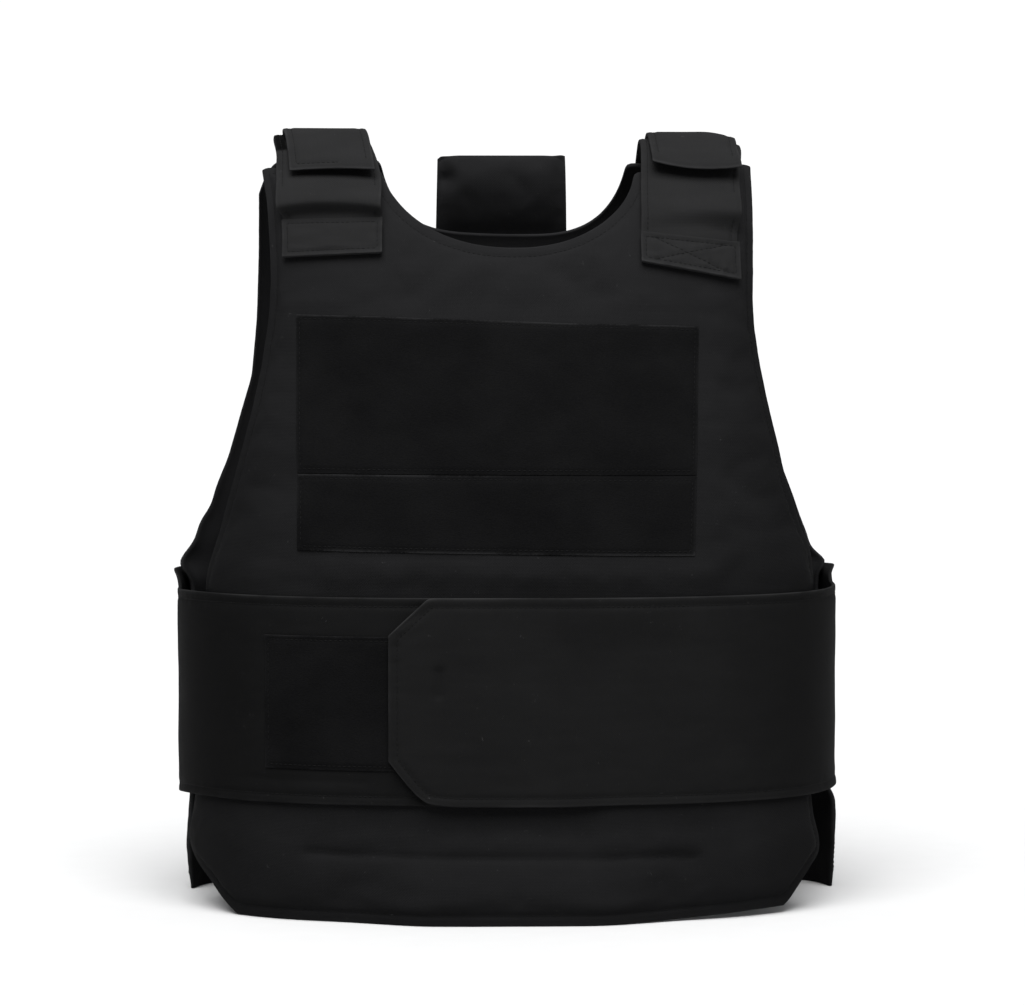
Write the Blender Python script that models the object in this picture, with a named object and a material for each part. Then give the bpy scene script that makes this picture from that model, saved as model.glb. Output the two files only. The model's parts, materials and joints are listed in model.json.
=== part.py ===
"""A black tactical vest, standing empty on its hems, front towards -Y.

Metres, +Z up. The origin is on the floor under the middle of the vest.
Left and right are a viewer's, who looks at the front: left is -X.

Every piece lies on one body form. The form is a ring at each height, wide at the side and round in
front, that closes over the shoulders in an arch. A place on it is given by a girth (the distance round
the form from a centre line) and a rise (the height, and above the chest the distance along the arch).
A piece is an outline in girth and rise, filled with a net of faces, laid on the form at two distances
from it, and closed round its rim.
"""

import math

import bmesh
import bpy
import numpy as np
from mathutils import Vector

# Sizes of the whole vest
SIDE_Y = 0.036
FRONT_SQUARENESS = 2.7
BACK_SQUARENESS = 3.2

# Shoulder arches: each springs from the form on the front and on the back, and meets itself at the crest
SPRING_HEIGHT = 0.400
CREST_HEIGHT = 0.5330
CREST_Y = 0.018
SHOULDER_X = 0.130
FRONT_FOOT_LEAN = 0.30
BACK_FOOT_LEAN = -0.10
FOOT_HANDLE = 0.072
CREST_HANDLE = 0.052
ARCH_STEPS = 80
RIGHT_CREST_DROP = 0.004
RIGHT_DROP_HALF_BAND = 0.05
RIGHT_CORNER_DROP = 0.005
RIGHT_CORNER_START = 0.136
RIGHT_CORNER_END = 0.168

# Rings of the body form: height, half width, y of the front, y of the back
RINGS = np.array([
    (0.000, 0.2270, -0.121, 0.127),
    (0.040, 0.2280, -0.124, 0.130),
    (0.083, 0.2280, -0.127, 0.132),
    (0.150, 0.2285, -0.129, 0.133),
    (0.220, 0.2285, -0.129, 0.133),
    (0.260, 0.2275, -0.126, 0.132),
    (0.300, 0.2225, -0.120, 0.130),
    (0.350, 0.2135, -0.110, 0.127),
    (0.400, 0.2060, -0.095, 0.122),
])
GIRTH_RING_HEIGHT = 0.150
RING_SOFTENING = 0.018

# Cloth
GAP = 0.0004
PAD_THICKNESS = 0.0105
PAD_RIM = 0.0065
PAD_EDGE_BAND = 0.016
PANEL_TAB_CORNER = 0.008
STRAP_THICKNESS = 0.0030
PATCH_THICKNESS = 0.0015
FLAP_THICKNESS = 0.0040
LOOP_CLOTH_THICKNESS = 0.0014
WING_THICKNESS = 0.0028
NECK_TAB_THICKNESS = 0.0090
NECK_TAB_THINNING = 0.0025
NECK_TAB_EDGE_BAND = 0.012
NET_STEP = 0.018
WING_UP_STEP = 0.036
STRAP_ACROSS_STEP = 0.018
STRAP_RUN_STEP = 0.0095
TAB_STEP = 0.0125
SLIVER_SHARE = 0.12
WELD_SHARE = 0.08
NORMAL_STEP = 0.0001
HEM_BAND = 0.030
NECKLINE_STEPS = 22

# Front panel: height, half width, from the hem round its cut corner and up the armhole to the shoulder
FRONT_EDGE = (
    (0.0000, 0.100),
    (0.0009, 0.135),
    (0.0024, 0.165),
    (0.0042, 0.186),
    (0.009, 0.193),
    (0.018, 0.200),
    (0.032, 0.209),
    (0.047, 0.217),
    (0.077, 0.213),
    (0.160, 0.2095),
    (0.228, 0.2085),
    (0.253, 0.2045),
    (0.270, 0.1995),
    (0.292, 0.1915),
    (0.313, 0.1855),
    (0.345, 0.1775),
    (0.377, 0.1710),
    (0.408, 0.1655),
    (0.445, 0.1650),
    (0.508, 0.1685),
)
FRONT_TAB_TOP = 0.511
FRONT_NECK_HALF_WIDTH = 0.090
FRONT_NECK_BOTTOM = 0.4555
FRONT_NECK_RIM = 0.511

# Back panel: height, half width, with square lower corners
BACK_EDGE = (
    (0.000, 0.2266),
    (0.040, 0.2277),
    (0.120, 0.2282),
    (0.233, 0.2281),
    (0.241, 0.2265),
    (0.255, 0.2215),
    (0.273, 0.2125),
    (0.307, 0.2000),
    (0.366, 0.1840),
    (0.407, 0.1790),
    (0.445, 0.1770),
    (0.498, 0.1760),
)
BACK_TAB_TOP = 0.503
BACK_NECK_HALF_WIDTH = 0.088
BACK_NECK_BOTTOM = 0.467
BACK_NECK_RIM = 0.503

# Loop cloth on the chest: name, then x and height of the corners, low left and right, high right and left
CHEST_FIELDS = (
    ("chest_field_lower", (-0.1440, 0.2530), (0.1235, 0.2490), (0.1250, 0.3015), (-0.1445, 0.3030)),
    ("chest_field_upper", (-0.1445, 0.3038), (0.1250, 0.3023), (0.1275, 0.4020), (-0.1450, 0.4090)),
)

# Shoulders: distances from the middle plane, widths, and heights of the sewn patch at its inner and
# outer edge
SHOULDERS = {
    "left": dict(sign=-1, strap_x=0.1235, strap_width=0.0730, patch_low=(0.4515, 0.4490),
                 patch_top=(0.4750, 0.4740), flap_x=0.1255, flap_width=0.0580),
    "right": dict(sign=1, strap_x=0.1265, strap_width=0.0700, patch_low=(0.4465, 0.4345),
                  patch_top=(0.4665, 0.4600), flap_x=0.1300, flap_width=0.0600),
}
STRAP_BACK_END = 0.455
STRAP_CREST_TAPER = 0.009
STRAP_PUFF = 0.0060
STRAP_PUFF_OVERLAP = 0.010
PATCH_INSET = 0.001
FLAP_FREE_END = 0.511
FLAP_SEWN_END = 0.430
FLAP_LIFT = 0.0045
FLAP_LIFT_LENGTH = 0.030
FLAP_STEP_START = 0.004
FLAP_STEP_END = 0.018

# Neck tab, which stands up behind the neck
NECK_TAB_BOTTOM = 0.432
NECK_TAB_TOP = 0.5225
NECK_TAB_BOTTOM_WIDTH = 0.094
NECK_TAB_TOP_WIDTH = 0.088
NECK_TAB_CORNER = 0.010
NECK_TAB_LEAN = 0.006

# Waist wings
WING_BOTTOM = 0.081
WING_TOP = 0.219
WING_SIDE_DROOP = 0.006
WING_DROOP_HALF_LENGTH = 0.060
WING_STATIONS = 24
WING_BACK_END_X = 0.070
OVER_END_X = -0.0805
OVER_CORNER_LENGTH = 0.0265
OVER_CORNER_TOP = 0.0250
OVER_CORNER_BOTTOM = 0.0305
UNDER_END_X = 0.020
WAIST_FIELD_LEFT_X = -0.1645
WAIST_FIELD_RIGHT_X = -0.0600
WAIST_FIELD_BOTTOM = 0.1045
WAIST_FIELD_TOP = 0.1950
OVER_RAMP_START = 0.030
OVER_RAMP_END = 0.075
TOP_GAPE = 0.0035
TOP_GAPE_DEPTH = 0.035
TOP_GAPE_START = (0.010, 0.045)
TOP_GAPE_END = (0.095, 0.125)

# Folds of the cloth on the front: x and height of both ends, half width, and height of the ridge
# (a crease is below zero)
FRONT_FOLDS = (
    ("crease above the hem", -0.130, 0.049, 0.122, 0.045, 0.012, -0.0020),
    ("ridge under the chest field", -0.120, 0.240, 0.135, 0.237, 0.012, 0.0016),
    ("ridge beside the chest field", 0.141, 0.250, 0.139, 0.395, 0.012, 0.0024),
    ("pull at the left armhole", -0.150, 0.300, -0.205, 0.262, 0.014, -0.0020),
    ("pull at the right armhole", 0.152, 0.300, 0.205, 0.262, 0.014, -0.0022),
    ("dip in the upper chest", -0.060, 0.432, 0.050, 0.428, 0.022, -0.0024),
    ("swell of the left lower corner", -0.150, 0.030, -0.185, 0.062, 0.024, 0.0022),
    ("swell of the right lower corner", 0.150, 0.030, 0.185, 0.062, 0.024, 0.0022),
    ("flare of the right lower side", 0.228, 0.000, 0.228, 0.045, 0.030, 0.0075),
)
BACK_FOLDS = (
    ("crease above the back hem", -0.150, 0.048, 0.150, 0.048, 0.014, -0.0018),
    ("hollow between the shoulders", 0.000, 0.330, 0.000, 0.430, 0.050, -0.0030),
    ("pull at the left of the back", -0.150, 0.310, -0.205, 0.262, 0.016, -0.0022),
    ("pull at the right of the back", 0.150, 0.310, 0.205, 0.262, 0.016, -0.0022),
    ("flare of the right lower side", 0.228, 0.000, 0.228, 0.045, 0.030, 0.0075),
    ("swell over the left wing", -0.228, 0.232, -0.228, 0.234, 0.015, 0.0042),
    ("swell over the right wing", 0.228, 0.232, 0.228, 0.234, 0.015, 0.0042),
)

# Colours of the cloth (linear) and how rough it is
PLAIN_NYLON = ((0.022, 0.022, 0.023), 0.86)
WEBBING = ((0.030, 0.030, 0.031), 0.80)
LOOP_CLOTH = ((0.008, 0.008, 0.009), 0.97)
WING_CLOTH = ((0.011, 0.011, 0.011), 0.90)


for old in list(bpy.data.objects):
    bpy.data.objects.remove(old, do_unlink=True)


def smooth(low, high, value):
    """0 below low, 1 above high, and a soft step between them."""
    part = min(1.0, max(0.0, (value - low) / (high - low)))
    return part * part * (3.0 - 2.0 * part)


# The body form

def ring(height):
    """Half width, y of the front and y of the back of the form at a height, softened between rows."""
    around = (height - RING_SOFTENING, height, height + RING_SOFTENING)
    return tuple(float(np.interp(around, RINGS[:, 0], RINGS[:, column]).mean()) for column in (1, 2, 3))


def ring_point(angle, height):
    """A point of the form at a height: angle 0 is the front centre, a half turn is the back centre."""
    half_width, front_y, back_y = ring(height)
    at_front = angle <= math.pi / 2
    squareness = FRONT_SQUARENESS if at_front else BACK_SQUARENESS
    centre_y = front_y if at_front else back_y
    x = half_width * abs(math.sin(angle)) ** (2.0 / squareness)
    y = SIDE_Y + (centre_y - SIDE_Y) * abs(math.cos(angle)) ** (2.0 / squareness)
    return x, y


ANGLES = np.linspace(0.0, math.pi, 2881)
RING_PLACES = np.array([ring_point(float(a), GIRTH_RING_HEIGHT) for a in ANGLES])
GIRTHS = np.concatenate([[0.0], np.cumsum(np.linalg.norm(np.diff(RING_PLACES, axis=0), axis=1))])
HALF_GIRTH = float(GIRTHS[-1])
GIRTH_STEP = HALF_GIRTH / round(HALF_GIRTH / NET_STEP)


def angle_of(girth, side):
    """The angle on the ring of a girth measured from that side's centre line."""
    from_front = girth if side == "front" else HALF_GIRTH - girth
    return float(np.interp(from_front, GIRTHS, ANGLES))


def girth_of(x, height, side):
    """The signed girth of a point of that side whose x is given."""
    half_width = ring(min(height, SPRING_HEIGHT))[0]
    squareness = FRONT_SQUARENESS if side == "front" else BACK_SQUARENESS
    angle = math.asin(min(1.0, (abs(x) / half_width) ** (squareness / 2.0)))
    from_front = float(np.interp(angle if side == "front" else math.pi - angle, ANGLES, GIRTHS))
    return math.copysign(from_front if side == "front" else HALF_GIRTH - from_front, x)


def reach(x, squareness):
    """How much of the form's depth is left at x, on the ring where the arches spring."""
    half_width = ring(SPRING_HEIGHT)[0]
    return (1.0 - min(1.0, abs(x) / half_width) ** squareness) ** (1.0 / squareness)


def quarter_arch(side):
    """Points (y, z) of half a shoulder arch, from its foot on that side to the crest."""
    squareness = FRONT_SQUARENESS if side == "front" else BACK_SQUARENESS
    _, front_y, back_y = ring(SPRING_HEIGHT)
    centre_y = front_y if side == "front" else back_y
    foot = np.array([SIDE_Y + (centre_y - SIDE_Y) * reach(SHOULDER_X, squareness), SPRING_HEIGHT])
    crest = np.array([CREST_Y, CREST_HEIGHT])
    lean = np.array([FRONT_FOOT_LEAN if side == "front" else BACK_FOOT_LEAN, 1.0])
    inward = np.array([1.0 if side == "front" else -1.0, 0.0])
    lower_handle = foot + FOOT_HANDLE * lean / np.linalg.norm(lean)
    upper_handle = crest - CREST_HANDLE * inward
    ahead = np.linspace(0.0, 1.0, ARCH_STEPS + 1)[:, None]
    behind = 1.0 - ahead
    return (foot * behind**3 + 3 * lower_handle * behind**2 * ahead
            + 3 * upper_handle * behind * ahead**2 + crest * ahead**3)


ARCH = np.concatenate([quarter_arch("front"), quarter_arch("back")[-2::-1]])
ARCH_RUN = np.concatenate([[0.0], np.cumsum(np.linalg.norm(np.diff(ARCH, axis=0), axis=1))])
ARCH_LENGTH = float(ARCH_RUN[-1])
CREST_RUN = float(ARCH_RUN[ARCH_STEPS])


def arch_point(x, run):
    """A point of the shoulder arch, run metres along it from its front foot."""
    _, front_y, back_y = ring(SPRING_HEIGHT)
    y = float(np.interp(run, ARCH_RUN, ARCH[:, 0]))
    z = float(np.interp(run, ARCH_RUN, ARCH[:, 1]))
    share = run / ARCH_LENGTH
    front_bow = max(0.0, 1.0 - 2.0 * share) * (front_y - SIDE_Y)
    back_bow = max(0.0, 2.0 * share - 1.0) * (back_y - SIDE_Y)
    y += front_bow * (reach(x, FRONT_SQUARENESS) - reach(SHOULDER_X, FRONT_SQUARENESS))
    y += back_bow * (reach(x, BACK_SQUARENESS) - reach(SHOULDER_X, BACK_SQUARENESS))
    on_right = smooth(-RIGHT_DROP_HALF_BAND, RIGHT_DROP_HALF_BAND, x)
    z -= RIGHT_CREST_DROP * on_right * (z - SPRING_HEIGHT) / (CREST_HEIGHT - SPRING_HEIGHT)
    near_crest = smooth(1 / 3, 1 / 2, share) * (1.0 - smooth(1 / 2, 2 / 3, share))
    z -= RIGHT_CORNER_DROP * smooth(RIGHT_CORNER_START, RIGHT_CORNER_END, x) * near_crest
    return Vector((x, y, z))


def run_at(height, side):
    """How far along the arch, from its front foot, the form reaches a height on that side."""
    if side == "front":
        return float(np.interp(height, ARCH[:ARCH_STEPS + 1, 1], ARCH_RUN[:ARCH_STEPS + 1]))
    return float(np.interp(-height, -ARCH[ARCH_STEPS:, 1], ARCH_RUN[ARCH_STEPS:]))


def rise_of(height, side):
    """The rise of a height: the height itself, and above the arches' feet the way along the arch."""
    if height <= SPRING_HEIGHT:
        return height
    run = run_at(height, side)
    return SPRING_HEIGHT + (run if side == "front" else ARCH_LENGTH - run)


def body_point(side, girth, rise):
    """A point of the form by girth from that side's centre line, and rise."""
    angle = angle_of(abs(girth), side)
    if rise <= SPRING_HEIGHT:
        x, y = ring_point(angle, rise)
        return Vector((math.copysign(x, girth), y, rise))
    x = math.copysign(ring_point(angle, SPRING_HEIGHT)[0], girth)
    run = rise - SPRING_HEIGHT
    return arch_point(x, run if side == "front" else ARCH_LENGTH - run)


def fold_lift(point):
    """How far the folds raise the cloth at a point."""
    lift = 0.0
    for _, x0, z0, x1, z1, half_width, ridge in FRONT_FOLDS if point.y < SIDE_Y else BACK_FOLDS:
        along = Vector((x1 - x0, z1 - z0))
        here = Vector((point.x - x0, point.z - z0))
        share = min(1.0, max(0.0, here.dot(along) / along.length_squared))
        away = (here - along * share).length / half_width
        lift += ridge * math.exp(-away * away)
    return lift


def from_middle(point):
    """A direction that points outward from the middle of the vest."""
    return Vector((point.x, point.y - SIDE_Y, 2.0 * max(0.0, point.z - SPRING_HEIGHT)))


def laid(base, level_hem=True):
    """A function that gives the point at a distance outward from the surface that base gives."""
    def place(a, b, lift):
        here = base(a, b)
        across = base(a + NORMAL_STEP, b) - base(a - NORMAL_STEP, b)
        up = base(a, b + NORMAL_STEP) - base(a, b - NORMAL_STEP)
        normal = across.cross(up).normalized()
        if normal.dot(from_middle(here)) < 0.0:
            normal.negate()
        if level_hem:
            normal.z *= smooth(0.0, HEM_BAND, here.z)
            normal.normalize()
        return here + normal * lift
    return place


def folded_base(side):
    """The form of one side with its folds."""
    place = laid(lambda girth, rise: body_point(side, girth, rise))
    return lambda girth, rise: place(girth, rise, fold_lift(body_point(side, girth, rise)))


FRONT = laid(folded_base("front"))
BACK = laid(folded_base("back"))
SHOULDER = laid(arch_point, level_hem=False)


# Outlines and nets

def bow(start, middle, end, count):
    """Points of a curve that leaves start, heads for middle and ends at end."""
    steps = [k / count for k in range(count + 1)]
    return [tuple((1 - s) ** 2 * a + 2 * s * (1 - s) * b + s * s * c
                  for a, b, c in zip(start, middle, end)) for s in steps]


def half_ellipse(half_width, rim, bottom, count):
    """Points (x, z) of a neckline from its right rim down and up to its left rim."""
    turns = [math.pi * k / count for k in range(count + 1)]
    return [(half_width * math.cos(a), rim - (rim - bottom) * math.sin(a)) for a in turns]


def panel_outline(side, edge, tab_top, neck_half_width, neck_rim, neck_bottom):
    """Outline of a front or back panel in girth and rise: the right edge, the neckline, the left edge."""
    right = [(x, z) for z, x in edge]
    outer = right[-1][0]
    right[-1:] = bow(right[-1], (outer, tab_top), (outer - PANEL_TAB_CORNER, tab_top), 3)
    neck = half_ellipse(neck_half_width, neck_rim, neck_bottom, NECKLINE_STEPS)
    left = [(-x, z) for x, z in reversed(right)]
    return [(girth_of(x, z, side), rise_of(z, side)) for x, z in right + neck + left]


def net(outline, across_step=GIRTH_STEP, up_step=NET_STEP):
    """A flat net that fills an outline, cut along evenly spaced lines both ways."""
    mesh = bmesh.new()
    mesh.faces.new([mesh.verts.new((a, b, 0.0)) for a, b in outline])
    for axis, step in ((0, across_step), (1, up_step)):
        values = [point[axis] for point in outline]
        normal = Vector((1.0, 0.0, 0.0)) if axis == 0 else Vector((0.0, 1.0, 0.0))
        for k in range(math.ceil(min(values) / step), math.floor(max(values) / step) + 1):
            bmesh.ops.bisect_plane(
                mesh, geom=mesh.verts[:] + mesh.edges[:] + mesh.faces[:],
                dist=SLIVER_SHARE * step, plane_co=normal * k * step, plane_no=normal)
    bmesh.ops.remove_doubles(mesh, verts=mesh.verts[:], dist=WELD_SHARE * min(across_step, up_step))
    bmesh.ops.recalc_face_normals(mesh, faces=mesh.faces[:])
    bmesh.ops.triangulate(mesh, faces=mesh.faces[:])
    return mesh


def edge_distance(outline):
    """A function that gives the distance of a point in the net from the outline."""
    start = np.array(outline)
    run = np.roll(start, -1, axis=0) - start
    squares = np.maximum((run**2).sum(axis=1), 1e-12)

    def distance(a, b):
        here = np.array([a, b]) - start
        share = np.clip((here * run).sum(axis=1) / squares, 0.0, 1.0)
        return float(np.linalg.norm(here - run * share[:, None], axis=1).min())
    return distance


def cloth(name, flat, place, under, over, finish):
    """A closed piece between the distances under and over from the form, filled as the flat net is."""
    flat.verts.ensure_lookup_table()
    flat.verts.index_update()
    count = len(flat.verts)
    mesh = bmesh.new()
    for lift in (over, under):
        for vertex in flat.verts:
            mesh.verts.new(place(vertex.co.x, vertex.co.y, lift(vertex.co.x, vertex.co.y)))
    mesh.verts.ensure_lookup_table()
    for face in flat.faces:
        corners = [vertex.index for vertex in face.verts]
        mesh.faces.new([mesh.verts[i] for i in corners])
        mesh.faces.new([mesh.verts[i + count] for i in reversed(corners)])
    for edge in flat.edges:
        if len(edge.link_faces) == 1:
            loop = edge.link_loops[0]
            first, second = loop.vert.index, loop.link_loop_next.vert.index
            mesh.faces.new([mesh.verts[i] for i in (second, first, first + count, second + count)])
    bmesh.ops.recalc_face_normals(mesh, faces=mesh.faces[:])
    flat.free()
    return finished(name, mesh, finish)


def finished(name, mesh, finish):
    """An object from a bmesh, with its own material."""
    colour, roughness = finish
    data = bpy.data.meshes.new(name)
    mesh.to_mesh(data)
    mesh.free()
    data.shade_smooth()
    data.set_sharp_from_angle(angle=math.radians(50))
    material = bpy.data.materials.new(name)
    material.use_nodes = True
    shader = material.node_tree.nodes["Principled BSDF"]
    shader.inputs["Base Color"].default_value = (*colour, 1.0)
    shader.inputs["Roughness"].default_value = roughness
    shader.inputs["Metallic"].default_value = 0.0
    material.diffuse_color = (*colour, 1.0)
    data.materials.append(material)
    piece = bpy.data.objects.new(name, data)
    bpy.context.collection.objects.link(piece)
    return piece


def level(distance):
    """A lift that is the same all over."""
    return lambda a, b: distance


# Padded panels

def padded_panel(name, place, outline):
    """A padded panel whose outer face is the form, thinner at its rim."""
    distance = edge_distance(outline)
    thinning = (PAD_THICKNESS - PAD_RIM) / 2.0

    def over(a, b):
        return -thinning * (1.0 - smooth(0.0, PAD_EDGE_BAND, distance(a, b)))

    def under(a, b):
        return -PAD_THICKNESS - over(a, b)
    return cloth(name, net(outline), place, under, over, PLAIN_NYLON)


front_outline = panel_outline("front", FRONT_EDGE, FRONT_TAB_TOP, FRONT_NECK_HALF_WIDTH,
                              FRONT_NECK_RIM, FRONT_NECK_BOTTOM)
back_outline = panel_outline("back", BACK_EDGE, BACK_TAB_TOP, BACK_NECK_HALF_WIDTH,
                             BACK_NECK_RIM, BACK_NECK_BOTTOM)
padded_panel("front_panel", FRONT, front_outline)
padded_panel("back_panel", BACK, back_outline)


# Loop cloth on the chest

for name, *corners in CHEST_FIELDS:
    outline = [(girth_of(x, z, "front"), rise_of(z, "front")) for x, z in corners]
    cloth(name, net(outline), FRONT, level(GAP), level(GAP + LOOP_CLOTH_THICKNESS), LOOP_CLOTH)


# Shoulder straps, their sewn ends and the flaps over them

def strip(sign, centre, width, low, top):
    """Outline, in x and way along the arch, of a strip over a shoulder; each end may lie aslant."""
    inner = sign * (centre - width / 2.0)
    outer = sign * (centre + width / 2.0)
    return [(inner, low[0]), (outer, low[1]), (outer, top[1]), (inner, top[0])]


def shoulder_piece(name, outline, under, thickness):
    """A strap, patch or flap, laid on the shoulder arch."""
    flat = net(outline, STRAP_ACROSS_STEP, STRAP_RUN_STEP)
    cloth(name, flat, SHOULDER, under, lambda x, run: under(x, run) + thickness, WEBBING)


ON_STRAP = 2.0 * GAP + STRAP_THICKNESS
STRAP_END_RUN = run_at(STRAP_BACK_END, "back")
FLAP_START_RUN = run_at(FLAP_FREE_END, "front")
FLAP_END_RUN = run_at(FLAP_SEWN_END, "back")


def flap_under(x, run):
    """The flap rides on the strap, stands off at its free end, and comes down behind the strap."""
    behind = smooth(STRAP_END_RUN + FLAP_STEP_START, STRAP_END_RUN + FLAP_STEP_END, run)
    free = 1.0 - smooth(FLAP_START_RUN, FLAP_START_RUN + FLAP_LIFT_LENGTH, run)
    return ON_STRAP * (1.0 - behind) + GAP * behind + FLAP_LIFT * free


def make_shoulder(name, sizes):
    """The strap over one shoulder, the patch that sews it down and the flap that lies over it."""
    sign = sizes["sign"]
    low = [run_at(height, "front") for height in sizes["patch_low"]]
    top = [run_at(height, "front") for height in sizes["patch_top"]]
    puff_end = FLAP_START_RUN + STRAP_PUFF_OVERLAP
    puff_middle = (max(top) + puff_end) / 2.0
    puff_half = (puff_end - max(top)) / 2.0

    def strap_under(x, run):
        return GAP + STRAP_PUFF * smooth(0.0, 1.0, 1.0 - abs(run - puff_middle) / puff_half)

    outline = strip(sign, sizes["strap_x"], sizes["strap_width"], low, (STRAP_END_RUN, STRAP_END_RUN))
    taper = (outline[0][0] + sign * STRAP_CREST_TAPER, CREST_RUN)
    outline += bow(outline[3], taper, outline[0], 8)[1:-1]
    shoulder_piece(f"shoulder_strap_{name}", outline, strap_under, STRAP_THICKNESS)

    outline = strip(sign, sizes["strap_x"], sizes["strap_width"] - 2.0 * PATCH_INSET,
                    [run + PATCH_INSET for run in low], top)
    shoulder_piece(f"strap_patch_{name}", outline, level(ON_STRAP), PATCH_THICKNESS)

    outline = strip(sign, sizes["flap_x"], sizes["flap_width"], (FLAP_START_RUN, FLAP_START_RUN),
                    (FLAP_END_RUN, FLAP_END_RUN))
    shoulder_piece(f"shoulder_flap_{name}", outline, flap_under, FLAP_THICKNESS)


for shoulder, shoulder_sizes in SHOULDERS.items():
    make_shoulder(shoulder, shoulder_sizes)


# The neck tab

def back_seat(x, height):
    """A point of the back under the tab, with its fold."""
    seat = arch_point(x, run_at(height, "back"))
    seat.y += fold_lift(seat)
    return seat


def neck_tab_base(x, height):
    """The tab follows the back up to the neckline, and from there stands up and leans back a little."""
    if height <= BACK_NECK_BOTTOM:
        return back_seat(x, height)
    seat = back_seat(x, BACK_NECK_BOTTOM)
    below = back_seat(x, BACK_NECK_BOTTOM - NORMAL_STEP)
    slope = (seat.y - below.y) / NORMAL_STEP
    free = height - BACK_NECK_BOTTOM
    share = free / (NECK_TAB_TOP - BACK_NECK_BOTTOM)
    return Vector((x, seat.y + slope * free * (1.0 - 0.5 * share) + NECK_TAB_LEAN * share * share, height))


def neck_tab_outline():
    """Outline (x, z) of the tab, a little narrower at its round-cornered top."""
    low = NECK_TAB_BOTTOM_WIDTH / 2.0
    high = NECK_TAB_TOP_WIDTH / 2.0
    corner = bow((high, NECK_TAB_TOP - NECK_TAB_CORNER), (high, NECK_TAB_TOP),
                 (high - NECK_TAB_CORNER, NECK_TAB_TOP), 4)
    right = [(low, NECK_TAB_BOTTOM)] + corner
    return right + [(-x, z) for x, z in reversed(right)]


tab_outline = neck_tab_outline()
tab_distance = edge_distance(tab_outline)


def tab_thinning(x, z):
    """How much a face of the tab falls back towards its rim."""
    return NECK_TAB_THINNING * (1.0 - smooth(0.0, NECK_TAB_EDGE_BAND, tab_distance(x, z)))


def tab_under(x, z):
    """Inner face of the tab: flat on the back panel, rounded towards its rim above it."""
    return GAP + tab_thinning(x, z) * smooth(BACK_NECK_BOTTOM, NECK_TAB_TOP, z)


def tab_over(x, z):
    """Outer face of the tab."""
    return NECK_TAB_THICKNESS - tab_thinning(x, z)


cloth("neck_tab", net(tab_outline, TAB_STEP, TAB_STEP), laid(neck_tab_base, level_hem=False),
      tab_under, tab_over, PLAIN_NYLON)


# Waist wings, in girth from the front centre: each runs from the back round one side to the front

def front_girth(x, height):
    """Girth of a point of the front by its x."""
    return girth_of(x, height, "front")


def back_girth(x, height):
    """Girth from the front centre of a point of the back by its x."""
    return math.copysign(HALF_GIRTH - abs(girth_of(x, height, "back")), x)


def droop(girth):
    """How far the left wing's lower edge hangs at the side of the vest."""
    side = front_girth(-ring(WING_BOTTOM)[0], WING_BOTTOM)
    return WING_SIDE_DROOP * math.exp(-((girth - side) / WING_DROOP_HALF_LENGTH) ** 2)


def left_wing_outline():
    """Outline of the wing on the left, from its front end under the other wing to the back."""
    front_end = front_girth(UNDER_END_X, WING_TOP)
    back_end = back_girth(-WING_BACK_END_X, WING_TOP)
    stations = np.linspace(back_end, front_end, WING_STATIONS + 1)
    lower = [(g, WING_BOTTOM - droop(g)) for g in stations]
    return lower + [(front_end, WING_TOP), (back_end, WING_TOP)]


def right_wing_outline():
    """Outline of the wing on the right, with the cut corners of its free end."""
    end = front_girth(OVER_END_X, WING_TOP)
    back_end = back_girth(WING_BACK_END_X, WING_TOP)
    return [(end + OVER_CORNER_LENGTH, WING_BOTTOM), (back_end, WING_BOTTOM), (back_end, WING_TOP),
            (end + OVER_CORNER_LENGTH, WING_TOP), (end, WING_TOP - OVER_CORNER_TOP),
            (end, WING_BOTTOM + OVER_CORNER_BOTTOM)]


def gape(girth, rise):
    """How far the top edge of the right wing stands off the chest."""
    along = smooth(*TOP_GAPE_START, girth) * (1.0 - smooth(*TOP_GAPE_END, girth))
    return TOP_GAPE * along * smooth(WING_TOP - TOP_GAPE_DEPTH, WING_TOP, rise)


def over_lift(girth, rise):
    """The right wing lies on the left one, then comes down to the panel."""
    on_wing = 3.0 * GAP + WING_THICKNESS + LOOP_CLOTH_THICKNESS
    down = smooth(OVER_RAMP_START, OVER_RAMP_END, girth)
    return on_wing * (1.0 - down) + GAP * down + gape(girth, rise)


def waist_piece(name, outline, under, thickness, finish):
    """A wing or field of the waist, laid on the form."""
    flat = net(outline, GIRTH_STEP, WING_UP_STEP)
    cloth(name, flat, FRONT, under, lambda girth, rise: under(girth, rise) + thickness, finish)


field_corners = ((WAIST_FIELD_LEFT_X, WAIST_FIELD_BOTTOM), (WAIST_FIELD_RIGHT_X, WAIST_FIELD_BOTTOM),
                 (WAIST_FIELD_RIGHT_X, WAIST_FIELD_TOP), (WAIST_FIELD_LEFT_X, WAIST_FIELD_TOP))
field_outline = [(front_girth(x, z), z) for x, z in field_corners]

waist_piece("waist_wing_left", left_wing_outline(), level(GAP), WING_THICKNESS, WING_CLOTH)
waist_piece("waist_field", field_outline, level(2.0 * GAP + WING_THICKNESS), LOOP_CLOTH_THICKNESS,
            LOOP_CLOTH)
waist_piece("waist_wing_right", right_wing_outline(), over_lift, WING_THICKNESS, WING_CLOTH)
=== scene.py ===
# %% [markdown]
# # A black tactical vest, dressed piece by piece
# The vest is an empty cover of black nylon with soft pads inside, which stands on its hems. Its solids
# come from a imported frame. This lesson replaces each plain cloth solid by a finished one: padded panels,
# loop cloth, straps, flaps, a neck tab and two waist wings, with hems, seams and stitches.

import json
import math
from types import SimpleNamespace

import bpy
import numpy as np
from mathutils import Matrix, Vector, kdtree, noise
from mathutils.bvhtree import BVHTree

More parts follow.
